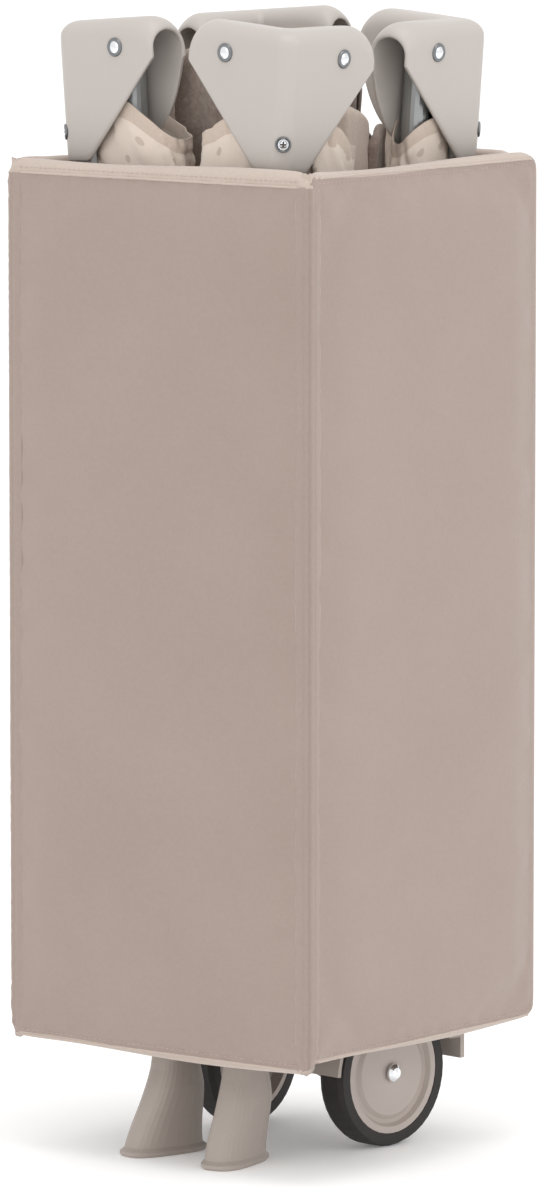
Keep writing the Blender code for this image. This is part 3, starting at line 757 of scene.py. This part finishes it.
# %% A roll of cloth along each join
def roll(name, line, radius, body, finish, sides=8, wobble=0.0):
    """A round cord of cloth along a line of points, with closed ends."""
    bm = bmesh.new()
    uv = bm.loops.layers.uv.new("UVMap")
    rings, travel = [], 0.0
    count = len(line)
    for k, p in enumerate(line):
        p = Vector(p)
        before, after = Vector(line[max(0, k - 1)]), Vector(line[min(count - 1, k + 1)])
        travel += (p - before).length
        along = (after - before).normalized()
        side = along.cross(Vector((0.31, 0.42, 0.85))).normalized()
        up = along.cross(side)
        size = radius * (1 + wobble * noise.noise(p * 210))
        rings.append(([bm.verts.new(p + (side * math.cos(t) + up * math.sin(t)) * size)
                       for t in (2 * math.pi * i / sides for i in range(sides))], travel))
    for (a, u0), (b, u1) in zip(rings, rings[1:]):
        for i in range(sides):
            j = (i + 1) % sides
            quad(bm, uv, (a[i], a[j], b[j], b[i]),
                 [(p, q * radius) for p, q in ((u0, i), (u0, i + 1), (u1, i + 1), (u1, i))])
    bm.faces.new(list(reversed(rings[0][0])))
    bm.faces.new(rings[-1][0])
    bmesh.ops.recalc_face_normals(bm, faces=bm.faces)
    made = to_object(name, bm, finish)
    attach(made, body)
    return made


def on_face(panel, s, t):
    """The nearest point of the pad's outer face to a place on its panel."""
    wanted = panel.point(s, t, -0.02)
    hit, place, normal, index = PADS[panel.name].ray_cast(wanted, -panel.outward)
    return place if hit else panel.point(s, t, 0)


for panel in PANELS:
    for word, t in (("upper", TALL - upper_binding(panel)), ("lower", LOWER_BINDING)):
        line = [on_face(panel, 0.010 + (panel.width - 0.020) * i / 90, t) for i in range(91)]
        roll(f"welt_{word}_{panel.name}", line, 0.0009, "wrap_" + panel.name, RIM, wobble=0.25)
        inward = -0.0035
        if word == "upper" and panel.name == "right":
            inward = 0.0035
        line = [on_face(panel, 0.012 + (panel.width - 0.024) * i / 90, t - inward) + panel.outward * 0.0001
                for i in range(91)]
        sewn(f"stitch_{word}_{panel.name}", [line], "wrap_" + panel.name)


# %% [markdown]
# ## Sewn corners
# Two panels meet at a strip of the cover with no foam in it. It is quilted by upright lines of
# thread, and it gathers into small creases near the rims.

# %% The corner strips
STRIP_BEND, STRIP_CLOTH = 0.0045, 0.0012   # radius round the corner, thickness of the cloth


def corner_strip(name, corner, first, second, reach=0.0125):
    """first and second point from the corner along each panel's face."""
    corner, first, second = Vector(corner), Vector(first), Vector(second)
    centre = corner + (first + second) * STRIP_BEND
    section = []
    for i in range(7):
        section.append(corner + first * (reach - (reach - STRIP_BEND) * i / 6))
    for i in range(1, 8):
        turn = math.pi / 2 * i / 8
        section.append(centre - second * (STRIP_BEND * math.cos(turn)) - first * (STRIP_BEND * math.sin(turn)))
    for i in range(7):
        section.append(corner + second * (STRIP_BEND + (reach - STRIP_BEND) * i / 6))
    outward = -(first + second).normalized()
    bm = bmesh.new()
    uv = bm.loops.layers.uv.new("UVMap")
    rows = 190
    low, high = LOW + 0.0006, HIGH - 0.0006
    grid = []
    for j in range(rows + 1):
        z = low + (high - low) * j / rows
        rim = min(z - low, high - z)
        gathered = 0.25 + 2.6 * math.exp(-rim / 0.016)
        line = []
        for i, p in enumerate(section):
            u = i / (len(section) - 1) * 2 - 1
            swell = 0.0011 * (1 - u * u) + 0.0004
            quilting = -0.0009 * (math.exp(-((abs(u) - 0.42) / 0.07) ** 2) + math.exp(-(u / 0.06) ** 2))
            crease = noise.noise(Vector((u * 2.2 + corner.x * 40, corner.y * 40, z * 330))) * 0.0011 * gathered
            edge = max(0.0, 1 - abs(u)) ** 0.25
            normal = (first * (-0.5 - u * 0.5) + second * (-0.5 + u * 0.5)).normalized()
            narrow = 1 - 0.5 * math.exp(-(rim / 0.008) ** 2)
            p = centre + (p - centre) * narrow
            proud = (swell + quilting + crease) * edge * narrow
            line.append(bm.verts.new(p + normal * proud + Vector((0, 0, z + crease * 0.5))))
        grid.append(line)
    for j in range(rows):
        for i in range(len(section) - 1):
            square = ((i, j), (i + 1, j), (i + 1, j + 1), (i, j + 1))
            face = quad(bm, uv, [grid[b][a] for a, b in square],
                        [(a * 0.0018, (high - low) * b / rows) for a, b in square])
            near_rim = rows - 1 - j < (BINDING_WIDTH - 0.0015) / (high - low) * rows or j == 0
            on_right_panel = name == "corner_near" and i > 12 and j < rows - 2
            face.material_index = 1 if near_rim and not on_right_panel else 0
    bmesh.ops.recalc_face_normals(bm, faces=bm.faces)
    middle = grid[rows // 2][len(section) // 2]
    middle.normal_update()
    if middle.normal.dot(outward) < 0:
        bmesh.ops.reverse_faces(bm, faces=bm.faces)
    strip = to_object(name, bm, TAUPE)
    strip.data.materials.append(RIM)
    thicken(strip, STRIP_CLOTH)
    keep_result(strip)
    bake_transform(strip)
    print(name, len(strip.data.polygons), "faces")
    return strip


corner_strip("corner_near", (HALF, -HALF, 0), (-1, 0, 0), (0, 1, 0))
corner_strip("corner_left", (-HALF, -HALF, 0), (1, 0, 0), (0, 1, 0))
corner_strip("corner_far", (-HALF, HALF, 0), (0, -1, 0), (1, 0, 0))


# %% [markdown]
# ## Corner heads
# Each head is one thin moulding: two inverted channels that meet over a post. The outer walls
# run down to a narrow tip on the ridge, and the inner walls hang as a leaf. The shape follows a
# rule, so it is drawn as one sheet swept round the corner and then given its wall thickness.

# %% Where the heads stand
OUT = 0.107                                # from the middle of the bundle to a head's outer face
HEAD_TALL, ARM, CHANNEL = 0.097, 0.0905, 0.031
HEAD_WALL, INNER_ARM = 0.0030, 0.0945
RIVET_ALONG, RIVET_DOWN = 0.057, 0.020     # a rivet's place on an arm, from the ridge and the top
HEAD_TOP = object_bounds()[1][2] - 0.0019
LEAN, TURN = math.radians(4.7), math.radians(-3)
joint_at = {joint["name"]: Vector(joint["pos_m"]) for joint in frame["joints"] if joint.get("pos_m")}
PIVOT_Z = joint_at["left_side_splay"].z
AXIS_X = (joint_at["right_side_splay"] - joint_at["left_side_splay"]).xy.length / 2
CENTRE = (joint_at["right_side_splay"] + joint_at["left_side_splay"]) / 2
CORNERS = {"fl": (-1, -1), "fr": (1, -1), "bl": (-1, 1), "br": (1, 1)}
SIDE_BODY = {"l": "left_side", "r": "right_side"}


def stand(bundle_side=0):
    """The move from the bundle's own square axes to its place: turned a little, sides leaning in."""
    turned = Matrix.Translation((CENTRE.x, CENTRE.y, 0)) @ Matrix.Rotation(TURN, 4, "Z")
    if not bundle_side:
        return turned
    pivot = Vector((bundle_side * AXIS_X, 0, PIVOT_Z))
    return (turned @ Matrix.Translation(pivot) @ Matrix.Rotation(bundle_side * LEAN, 4, "Y")
            @ Matrix.Translation(-pivot))


print("top of heads", round(HEAD_TOP, 4), "pivots", round(AXIS_X, 4), "from the middle")


# %% One head
def head_lower_edge(a, inner):
    """How far below the top a wall ends, at a distance a from the ridge along the arm."""
    toe, end = (0.036, 0.095) if inner else (0.0265, 0.0905)
    straight = HEAD_TALL - (a - toe) / (end - toe) * (HEAD_TALL - 0.028)
    if inner:
        lobe = HEAD_TALL * 0.93 * math.sqrt(max(0.0, 1 - max(0.0, (a - 0.045) / 0.0500) ** 2))
        return max(0.014, min(HEAD_TALL * 0.95, lobe))
    soft = 0.006
    blend = clamp(0.5 + (HEAD_TALL - straight) / (2 * soft))
    return max(0.0200, HEAD_TALL * (1 - blend) + straight * blend)


def head_sheet(name):
    """The head over the corner at the origin, with its arms along +X and +Y, top at z = 0."""
    bm = bmesh.new()
    arm_steps, corner_steps, wall_steps, top_steps = 22, 8, 9, 6
    ridge, inner_ridge, shoulder = 0.011, 0.004, 0.011
    outer, inner, reach = [], [], []
    for i in range(arm_steps, 0, -1):
        a = ridge + (ARM - ridge) * (i / arm_steps) ** 0.92
        b = CHANNEL + inner_ridge + (INNER_ARM - CHANNEL - inner_ridge) * (i / arm_steps) ** 0.92
        outer.append(Vector((a, 0))), inner.append(Vector((b, CHANNEL))), reach.append((a, b))
    for i in range(corner_steps + 1):
        t = math.pi / 2 * i / corner_steps
        flat = 0.16 * math.sin(2 * t) ** 2 * 0.004
        p = Vector((ridge - ridge * math.sin(t), ridge - ridge * math.cos(t)))
        p += Vector((1, 1)) * flat
        q = Vector((1, 1)) * (CHANNEL + inner_ridge) - inner_ridge * Vector((math.sin(t), math.cos(t)))
        outer.append(p), inner.append(q), reach.append((0, CHANNEL))
    for i in range(1, arm_steps + 1):
        a, b = reach[arm_steps - i]
        outer.append(Vector((0, a))), inner.append(Vector((CHANNEL, b))), reach.append((a, b))
    grid = []
    for p, q, (a, b) in zip(outer, inner, reach):
        droop = 0.0145 * (1 - math.sqrt(max(0.0, 1 - max(0.0, (a - (ARM - 0.019)) / 0.0205) ** 2)))
        low_out, low_in = head_lower_edge(a, False), head_lower_edge(b, True)
        line = []
        top = -droop
        swell = ease(clamp((a - 0.045) / (ARM - 0.045)))
        radius = shoulder + (CHANNEL / 2 - 0.0001 - shoulder) * swell
        for j in range(wall_steps):
            f = j / wall_steps
            z = -low_out + (top - radius + low_out) * f if low_out > droop + radius else top - radius
            line.append((0.0, z))
        for j in range(top_steps + 1):
            t = math.pi / 2 * j / top_steps
            line.append((radius * (1 - math.cos(t)), top - radius + radius * math.sin(t)))
        for j in range(top_steps + 1):
            t = math.pi / 2 * j / top_steps
            line.append((CHANNEL - radius * (1 - math.sin(t)), top - radius + radius * math.cos(t)))
        for j in range(1, wall_steps + 1):
            f = j / wall_steps
            reaches = low_in > droop + radius
            z = top - radius + (-low_in - (top - radius)) * f if reaches else top - radius - 0.0005 * j
            line.append((CHANNEL, z))
        grid.append([bm.verts.new((*(p + (q - p) * (d / CHANNEL)), z)) for d, z in line])
    for g, h in zip(grid, grid[1:]):
        for j in range(len(g) - 1):
            bm.faces.new((g[j], h[j], h[j + 1], g[j + 1]))
    bmesh.ops.recalc_face_normals(bm, faces=bm.faces)
    probe = min(bm.faces, key=lambda f: (f.calc_center_median() - Vector((0.05, 0.017, 0))).length)
    if probe.normal.z < 0:
        bmesh.ops.reverse_faces(bm, faces=bm.faces)
    return to_object(name, bm, HEAD_SHELL)


def place_at_corner(piece, corner, body):
    """Moves a piece drawn with its corner at the origin to one of the four corners of the bundle."""
    sx, sy = CORNERS[corner]
    to_corner = Matrix.Translation((sx * OUT, sy * OUT, HEAD_TOP)) @ Matrix.Diagonal((-sx, -sy, 1, 1))
    piece.data.transform(stand(sx) @ to_corner)
    if sx * sy < 0:
        piece.data.flip_normals()
    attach(piece, body)
    return piece


for corner in CORNERS:
    head = head_sheet("moulded_head_" + corner)
    thicken(head, HEAD_WALL)
    round_off = head.modifiers.new("round_off", "SUBSURF")
    round_off.levels = round_off.render_levels = 1
    keep_result(head)
    head.data.shade_smooth()
    place_at_corner(head, corner, SIDE_BODY[corner[1]])
    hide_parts("head_" + corner)
    print(head.name, len(head.data.polygons), "faces")


# %% [markdown]
# Each head is fixed to its post by one cross-head screw, low on the ridge, in a ringed seat. A
# profile is turned round and the rings inside the cross are pushed down, so the recess is cut in
# the mesh; its faces also get painted shade from the dark finish. The steel rings round the rivets are turned in the
# same way.

# %% Cross-head screws
def screw_mesh(name):
    """A pan head with a cross recess, in a ringed seat, facing +Z."""
    bm = bmesh.new()
    steps = 64
    dome = [(0.00036 * k, 0.0016 - 0.00011 * (k / 2) ** 2) for k in range(1, 10)]
    profile = dome + [(0.0036, 0.0002), (0.0037, -0.0006), (0.0043, -0.0006), (0.0046, 0.0005), (0.0051, 0.0007),
                      (0.0055, 0.0001), (0.0056, -0.0012)]

    def cut(x, y):
        """Depth of the cross: two slots with sloping ends."""
        arm, reach = sorted((abs(x), abs(y)))
        return 0.0012 * clamp((0.00062 - arm) / 0.00020) * clamp((0.00235 - reach) / 0.0005)

    rings = []
    for r, h in profile:
        ring = [(r * math.cos(t), r * math.sin(t)) for t in (2 * math.pi * i / steps for i in range(steps))]
        rings.append([bm.verts.new((x, y, h - cut(x, y))) for x, y in ring])
    middle = bm.verts.new((0, 0, 0.0004))
    for i in range(steps):
        bm.faces.new((middle, rings[0][i], rings[0][(i + 1) % steps]))
    for a, b in zip(rings, rings[1:]):
        for i in range(steps):
            bm.faces.new((a[i], b[i], b[(i + 1) % steps], a[(i + 1) % steps]))
    bm.faces.new(list(reversed(rings[-1])))
    for face in bm.faces:
        place = face.calc_center_median()
        # Painted shade: the faces deep in the cross take the dark finish.
        if cut(place.x, place.y) > 0.0005:
            face.material_index = 2
        elif 0.0035 < place.xy.length:
            face.material_index = 1
    bmesh.ops.recalc_face_normals(bm, faces=bm.faces)
    made = to_object(name, bm, CHROME)
    made.data.materials.append(STEEL_RING)
    made.data.materials.append(DARK_MOULDING_AND_PAINTED_SHADE)
    return made


for corner in CORNERS:
    screw = screw_mesh("ridge_screw_" + corner)
    face_out = Matrix.Rotation(math.pi / 4, 4, "Z") @ Matrix.Rotation(-math.pi / 2, 4, "Y")
    screw.data.transform(Matrix.Translation((0.0035, 0.0035, -HEAD_TALL + 0.021)) @ face_out)
    place_at_corner(screw, corner, SIDE_BODY[corner[1]])
print("4 ridge screws")

# %% Rings under the rivets
SWAP_ARMS = Matrix(((0, 1, 0, 0), (1, 0, 0, 0), (0, 0, 1, 0), (0, 0, 0, 1)))
for corner in CORNERS:
    for word, spin in (("short", Matrix.Identity(4)), ("long", SWAP_ARMS)):
        bm = bmesh.new()
        rings = []
        for r, h in ((0.0046, 0.0001), (0.0048, 0.0007), (0.0053, 0.0008), (0.0057, 0.0004), (0.0058, -0.0010)):
            rings.append([bm.verts.new((RIVET_ALONG + r * math.cos(t), -h, -RIVET_DOWN + r * math.sin(t)))
                          for t in (2 * math.pi * i / 28 for i in range(28))])
        for a, b in zip(rings, rings[1:]):
            for i in range(28):
                bm.faces.new((a[i], a[(i + 1) % 28], b[(i + 1) % 28], b[i]))
        ring = to_object(f"rivet_ring_{word}_{corner}", bm, STEEL_RING)
        thicken(ring, 0.0008)
        keep_result(ring)
        ring.data.transform(spin)
        bm = bmesh.new()
        bm.from_mesh(ring.data)
        bmesh.ops.recalc_face_normals(bm, faces=bm.faces)
        bm.to_mesh(ring.data)
        bm.free()
        ring.data.shade_smooth()
        place_at_corner(ring, corner, SIDE_BODY[corner[1]])
print("8 rivet rings")


# %% [markdown]
# The feet are boots: an upright neck over a foot that flares to the front. The sole stays where
# it is, and the flare is bent in between rings of points.

# %% Flared feet
def boot(corner):
    node = frame["nodes"]["foot_" + corner]
    low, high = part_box("foot_" + corner)
    bm = bmesh.new()
    bm.from_mesh(node.data)
    bm.transform(node.matrix_world)
    for k in range(1, 16):
        bmesh.ops.bisect_plane(bm, geom=bm.verts[:] + bm.edges[:] + bm.faces[:], dist=1e-6,
                               plane_co=(0, 0, low.z + 0.096 * k / 16), plane_no=(0, 0, 1))
    middle = (low + high) / 2
    for v in bm.verts:
        z = v.co.z - low.z
        back = clamp((high.z - low.z - z) / max(0.03, high.z - low.z - 0.070))
        lean = ease(clamp((z - 0.004) / 0.050)) * ease(back)
        ankle = math.exp(-((z - 0.062) / 0.010) ** 2)
        v.co.x += 0.0050 * lean + (middle.x - v.co.x) * 0.06 * ankle
        v.co.y += 0.0036 * lean + (middle.y - v.co.y) * 0.06 * ankle
    made = to_object("boot_" + corner, bm, FOOT_SHELL)
    made.data.set_sharp_from_angle(angle=math.radians(38))
    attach(made, "end_frames")
    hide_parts("foot_" + corner)
    print(made.name, len(made.data.polygons), "faces", [round(c, 4) for c in low], [round(c, 4) for c in high])


for corner in ("fl", "fr"):
    boot(corner)


# %% [markdown]
# ## Cloth between the heads
# The rails and walls are cloth-covered. Folded up, the cloth stands in loose cuffs round each
# hanging rail, and in loops between them. Each is one sheet; the cuffs have a sewn band at their top.
# A rule bends the sheet: a few deep folds that wander, and finer creases over them.


# %% Turning a grid of points into cloth
def cloth_sheet(name, rows, finish, band=None, band_rows=0, thick=0.0011, closed=False):
    """rows of points from the lowest up; the top band_rows take the band's finish."""
    bm = bmesh.new()
    uv = bm.loops.layers.uv.new("UVMap")
    grid = [[bm.verts.new(p) for p in row] for row in rows]
    count = len(rows[0])
    along = [0.0]
    for i in range(1, count + 1):
        along.append(along[-1] + (rows[0][i % count] - rows[0][i - 1]).length)
    up = [0.0]
    for a, b in zip(rows, rows[1:]):
        up.append(up[-1] + (b[count // 3] - a[count // 3]).length)
    for j in range(len(grid) - 1):
        for i in range(count if closed else count - 1):
            k = (i + 1) % count
            face = quad(bm, uv, (grid[j][i], grid[j][k], grid[j + 1][k], grid[j + 1][i]),
                        [(along[a], up[b]) for a, b in ((i, j), (i + 1, j), (i + 1, j + 1), (i, j + 1))])
            face.material_index = 1 if j >= len(grid) - 1 - band_rows else 0
    bmesh.ops.recalc_face_normals(bm, faces=bm.faces)
    area = sum(face.calc_area() for face in bm.faces)
    made = to_object(name, bm, finish)
    made.data.materials.append(band or finish)
    thicken(made, thick, 0)
    keep_result(made)
    made.data.shade_smooth()
    return made, area, along[-1]


def settle(piece, area, place, body):
    piece.data.transform(place)
    if place.determinant() < 0:
        piece.data.flip_normals()
    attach(piece, body)
    print(piece.name, len(piece.data.polygons), "faces, area", round(area, 4))
    return piece


def folds(seed, u, z, deep=1.0):
    """Deep wandering folds plus fine creases, as a distance in metres."""
    wander = noise.noise(Vector((seed, z * 14, 0.3))) * 1.6
    big = math.sin(3 * u + seed * 2.1 + wander * 2 + z * 30) * 0.0026
    mid = noise.noise(Vector((u * 1.9, z * 60 + u * 2.6, seed * 3.7))) * 0.0052
    fine = noise.noise(Vector((u * 6.0, z * 170, seed * 5.1))) * 0.0013
    return (big + mid + fine) * deep


# %% Loose cuffs round the hanging rails
RAIL_LINE = OUT - 0.017   # the hanging rails' own line, inside the heads' channels


CUFF_LEAST = 0.0118   # half of a cuff's depth where it lies against its rail


def cuff_rows(seed, half_along, half_deep, low, top, slope, arch, count=72, height=34):
    """An oval tube of cloth round the origin; its top edge slopes along +X by slope metres."""
    rows = []
    for j in range(height + 1):
        f = 1 - (1 - j / height) ** 1.7
        hem = 0.0007 * math.exp(-((j - height + 9.5) / 0.7) ** 2)
        row = []
        for i in range(count):
            t = 2 * math.pi * i / count
            edge = top + slope * math.cos(t) - arch * math.cos(t) ** 2 + 0.0022 * math.sin(3 * t + seed)
            z = low + (edge - low) * f + 0.003 * math.sin(2 * t + seed) * (1 - f) ** 2
            spread = (1 - 0.16 * f ** 3) * (1 - 0.30 * math.exp(-(z - low) / 0.014))
            move = folds(seed, t, z) * (0.5 + 0.5 * min(1, 3 * (1 - f))) - hem
            x = math.cos(t) * (half_along * spread + move * 1.6)
            deep = max(CUFF_LEAST, half_deep * (1 - 0.06 * f) + move * 0.45)
            y = math.copysign(abs(math.sin(t)) ** 0.6, math.sin(t)) * deep
            row.append(Vector((x, y, z)))
        rows.append(row)
    return rows


def side_place(side, along, leaning=True):
    """Moves a piece drawn along +X for the front side to any side of the bundle."""
    spin = {"front": 0, "right": 90, "back": 180, "left": -90}[side]
    lean = {"front": 0, "right": 1, "back": 0, "left": -1}[side] if leaning else 0
    return stand(lean) @ Matrix.Rotation(math.radians(spin), 4, "Z") @ Matrix.Translation((along, -RAIL_LINE, 0))


SIDE_OF = {"front": "end_frames", "back": "end_frames", "left": "left_side", "right": "right_side"}
CUFFS = [  # side, place along it, top, slope, arch, half length, seed
    ("front", -0.034, 0.7255, -0.0130, 0.008, 0.0415, 1.3), ("front", 0.045, 0.7240, 0.004, 0.012, 0.0275, 4.1),
    ("right", -0.046, 0.7200, -0.006, 0.010, 0.0290, 7.7), ("right", 0.054, 0.7240, 0.006, 0.014, 0.0250, 2.9),
    ("back", -0.048, 0.7260, -0.008, 0.012, 0.0255, 5.2), ("back", 0.048, 0.7240, 0.008, 0.012, 0.0255, 8.4),
    ("left", -0.048, 0.7220, -0.008, 0.012, 0.0255, 3.3), ("left", 0.048, 0.7260, 0.008, 0.012, 0.0255, 6.6)]
for number, (side, along, top, slope, arch, half, seed) in enumerate(CUFFS):
    rows = cuff_rows(seed, half, 0.0132, LOW + 0.53, top, slope, arch)
    cuff, area, width = cloth_sheet(f"cuff_{side}_{'ab'[number % 2]}", rows, DOTTED, BINDING, 9, closed=True)
    settle(cuff, area, side_place(side, along), SIDE_OF[side])


# %% Loops of folded cloth between the cuffs
def loop_rows(seed, width, deep, low, top, tilt=0.0, slope=0.0, count=30, height=60, round_top=0.010):
    """An inverted U of cloth: up the outer side, over a soft top, and down the inner side."""
    half = deep / 2
    path = []
    rise = top - low - round_top
    for j in range(height // 2 - 5):
        path.append((-half, low + rise * j / (height // 2 - 5)))
    for j in range(11):
        t = math.pi * j / 10
        path.append((-half * math.cos(t), top - round_top + round_top * math.sin(t)))
    for j in range(1, height // 2 - 4):
        path.append((half, top - round_top - rise * j / (height // 2 - 5)))
    rows = []
    for k, (y, z) in enumerate(path):
        row = []
        for i in range(count + 1):
            u = i / count * 2 - 1
            high = (z - low) / (top - low)
            pull = 1 - 0.10 * high * abs(u)
            sag = (0.007 * (abs(u) ** 4) - slope * u) * high
            wave = 0.0016 * math.sin(u * 5 + seed + 3 * high) * (1 if y < 0 else -0.6)
            crease = folds(seed, u * 2 + (0 if y < 0 else 9), z, 0.45)
            ends = max(0.14, (1 - abs(u) ** 5) ** 0.5)
            pinch = (0.42 + 0.58 * clamp((high - 0.55) / 0.4)) * ends
            bend = 0.0032 * math.sin(u * 2.6 + seed) + 0.0016 * math.sin(high * 9 + seed)
            gathered = y * pinch + bend + wave * 0.25 + crease * 0.3
            row.append(Vector((u * width / 2 * pull + tilt * high, gathered, z - sag)))
        rows.append(row)
    return rows


LOOPS = [  # name, side, along, inward, width, depth, top, tilt, slope, finish, seed
    ("tall_loop", "front", -0.0150, 0.0300, 0.050, 0.016, 0.7680, 0.004, 0.003, MELANGE, 2.2),
    ("side_loop", "right", 0.0040, 0.0190, 0.046, 0.009, 0.7260, 0.004, -0.007, LINING, 5.8),
    ("back_loop", "back", 0.0125, 0.0, 0.024, 0.016, 0.7420, 0.000, 0.0, MELANGE, 1.1),
    ("left_loop", "left", 0.000, 0.0, 0.034, 0.016, 0.7300, 0.000, 0.0, MELANGE, 9.3),
    ("lining_fold_front", "front", 0.0330, 0.0185, 0.032, 0.006, 0.7420, 0.007, 0.004, LINING, 3.9),
    ("lining_fold_right", "right", 0.0390, 0.0200, 0.024, 0.007, 0.7110, -0.003, 0.006, MELANGE, 6.1),
    ("lining_fold_far", "right", 0.0200, 0.0310, 0.034, 0.009, 0.7080, 0.003, 0.004, MELANGE, 7.3)]
for name, side, along, inward, width, deep, top, tilt, slope, finish, seed in LOOPS:
    rows = loop_rows(seed, width, deep, LOW + 0.53, top, tilt, slope, round_top=min(0.010, deep * 0.6))
    loop, area, cut = cloth_sheet(name, rows, finish)
    settle(loop, area, side_place(side, along) @ Matrix.Translation((0, inward, 0)), SIDE_OF[side])
    if name.endswith("_loop"):
        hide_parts("wall_fabric_" + side)


# %% The floor cloth bunched over the hub
def bunch(name, low, high, seed):
    bm = bmesh.new()
    bmesh.ops.create_cube(bm, size=1.0)
    bmesh.ops.subdivide_edges(bm, edges=bm.edges, cuts=22, use_grid_fill=True)
    low, high = Vector(low), Vector(high)
    middle, half = (low + high) / 2, (high - low) / 2
    for v in bm.verts:
        p = v.co * 2
        q = Vector([math.copysign(abs(c) ** 0.9, c) for c in p])
        shrink = 1 / max(1e-6, (abs(q.x) ** 4 + abs(q.y) ** 4 + abs(q.z) ** 4) ** 0.25)
        v.co = middle + Vector([c * h * shrink for c, h in zip(q, half)]) * 0.92
    bm.normal_update()
    for v in bm.verts:
        deep = noise.noise(v.co * 42 + Vector((seed, 0, 0))) * 0.007 + noise.noise(v.co * 120) * 0.0022
        v.co += v.normal * deep
    uv = bm.loops.layers.uv.new("UVMap")
    for face in bm.faces:
        for loop in face.loops:
            loop[uv].uv = (loop.vert.co.x + loop.vert.co.z * 0.3, loop.vert.co.y + loop.vert.co.z * 0.7)
    bmesh.ops.recalc_face_normals(bm, faces=bm.faces)
    return to_object(name, bm, DOTTED)


cloth_low, cloth_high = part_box("floor_fabric")
floor_bunch = bunch("floor_cloth", cloth_low, cloth_high, 4.4)
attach(floor_bunch, "end_frames")
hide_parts("floor_fabric")
print("floor cloth", len(floor_bunch.data.polygons), "faces")

# %% [markdown]
# The front panel hangs a few millimetres lower than the side, so the corner seams slant there.

# %% The front panel hangs lower
def hang(piece, drop, only_front=False):
    for v in piece.data.vertices:
        share = max(0.0, 1 - (v.co.z - LOW) / 0.12) ** 2
        if only_front:
            share *= clamp((0.0125 - HALF - v.co.y) / 0.0125)
        v.co.z -= drop * share


for name in ("pad_front", "welt_lower_front", "stitch_lower_front"):
    if name in bpy.data.objects:
        hang(bpy.data.objects[name], 0.0062)
for name in ("corner_near", "corner_left"):
    hang(bpy.data.objects[name], 0.0062, only_front=True)
print("front panel hangs 6 mm lower")

# %% Stand the pads on their bodies
for name, pad in PADS.items():
    finer = pad.modifiers.new("finer", "SUBSURF")
    finer.levels = finer.render_levels = 1
    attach(pad, "wrap_" + name)
    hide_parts("wrap_panel_" + name)
print("wrap ready")
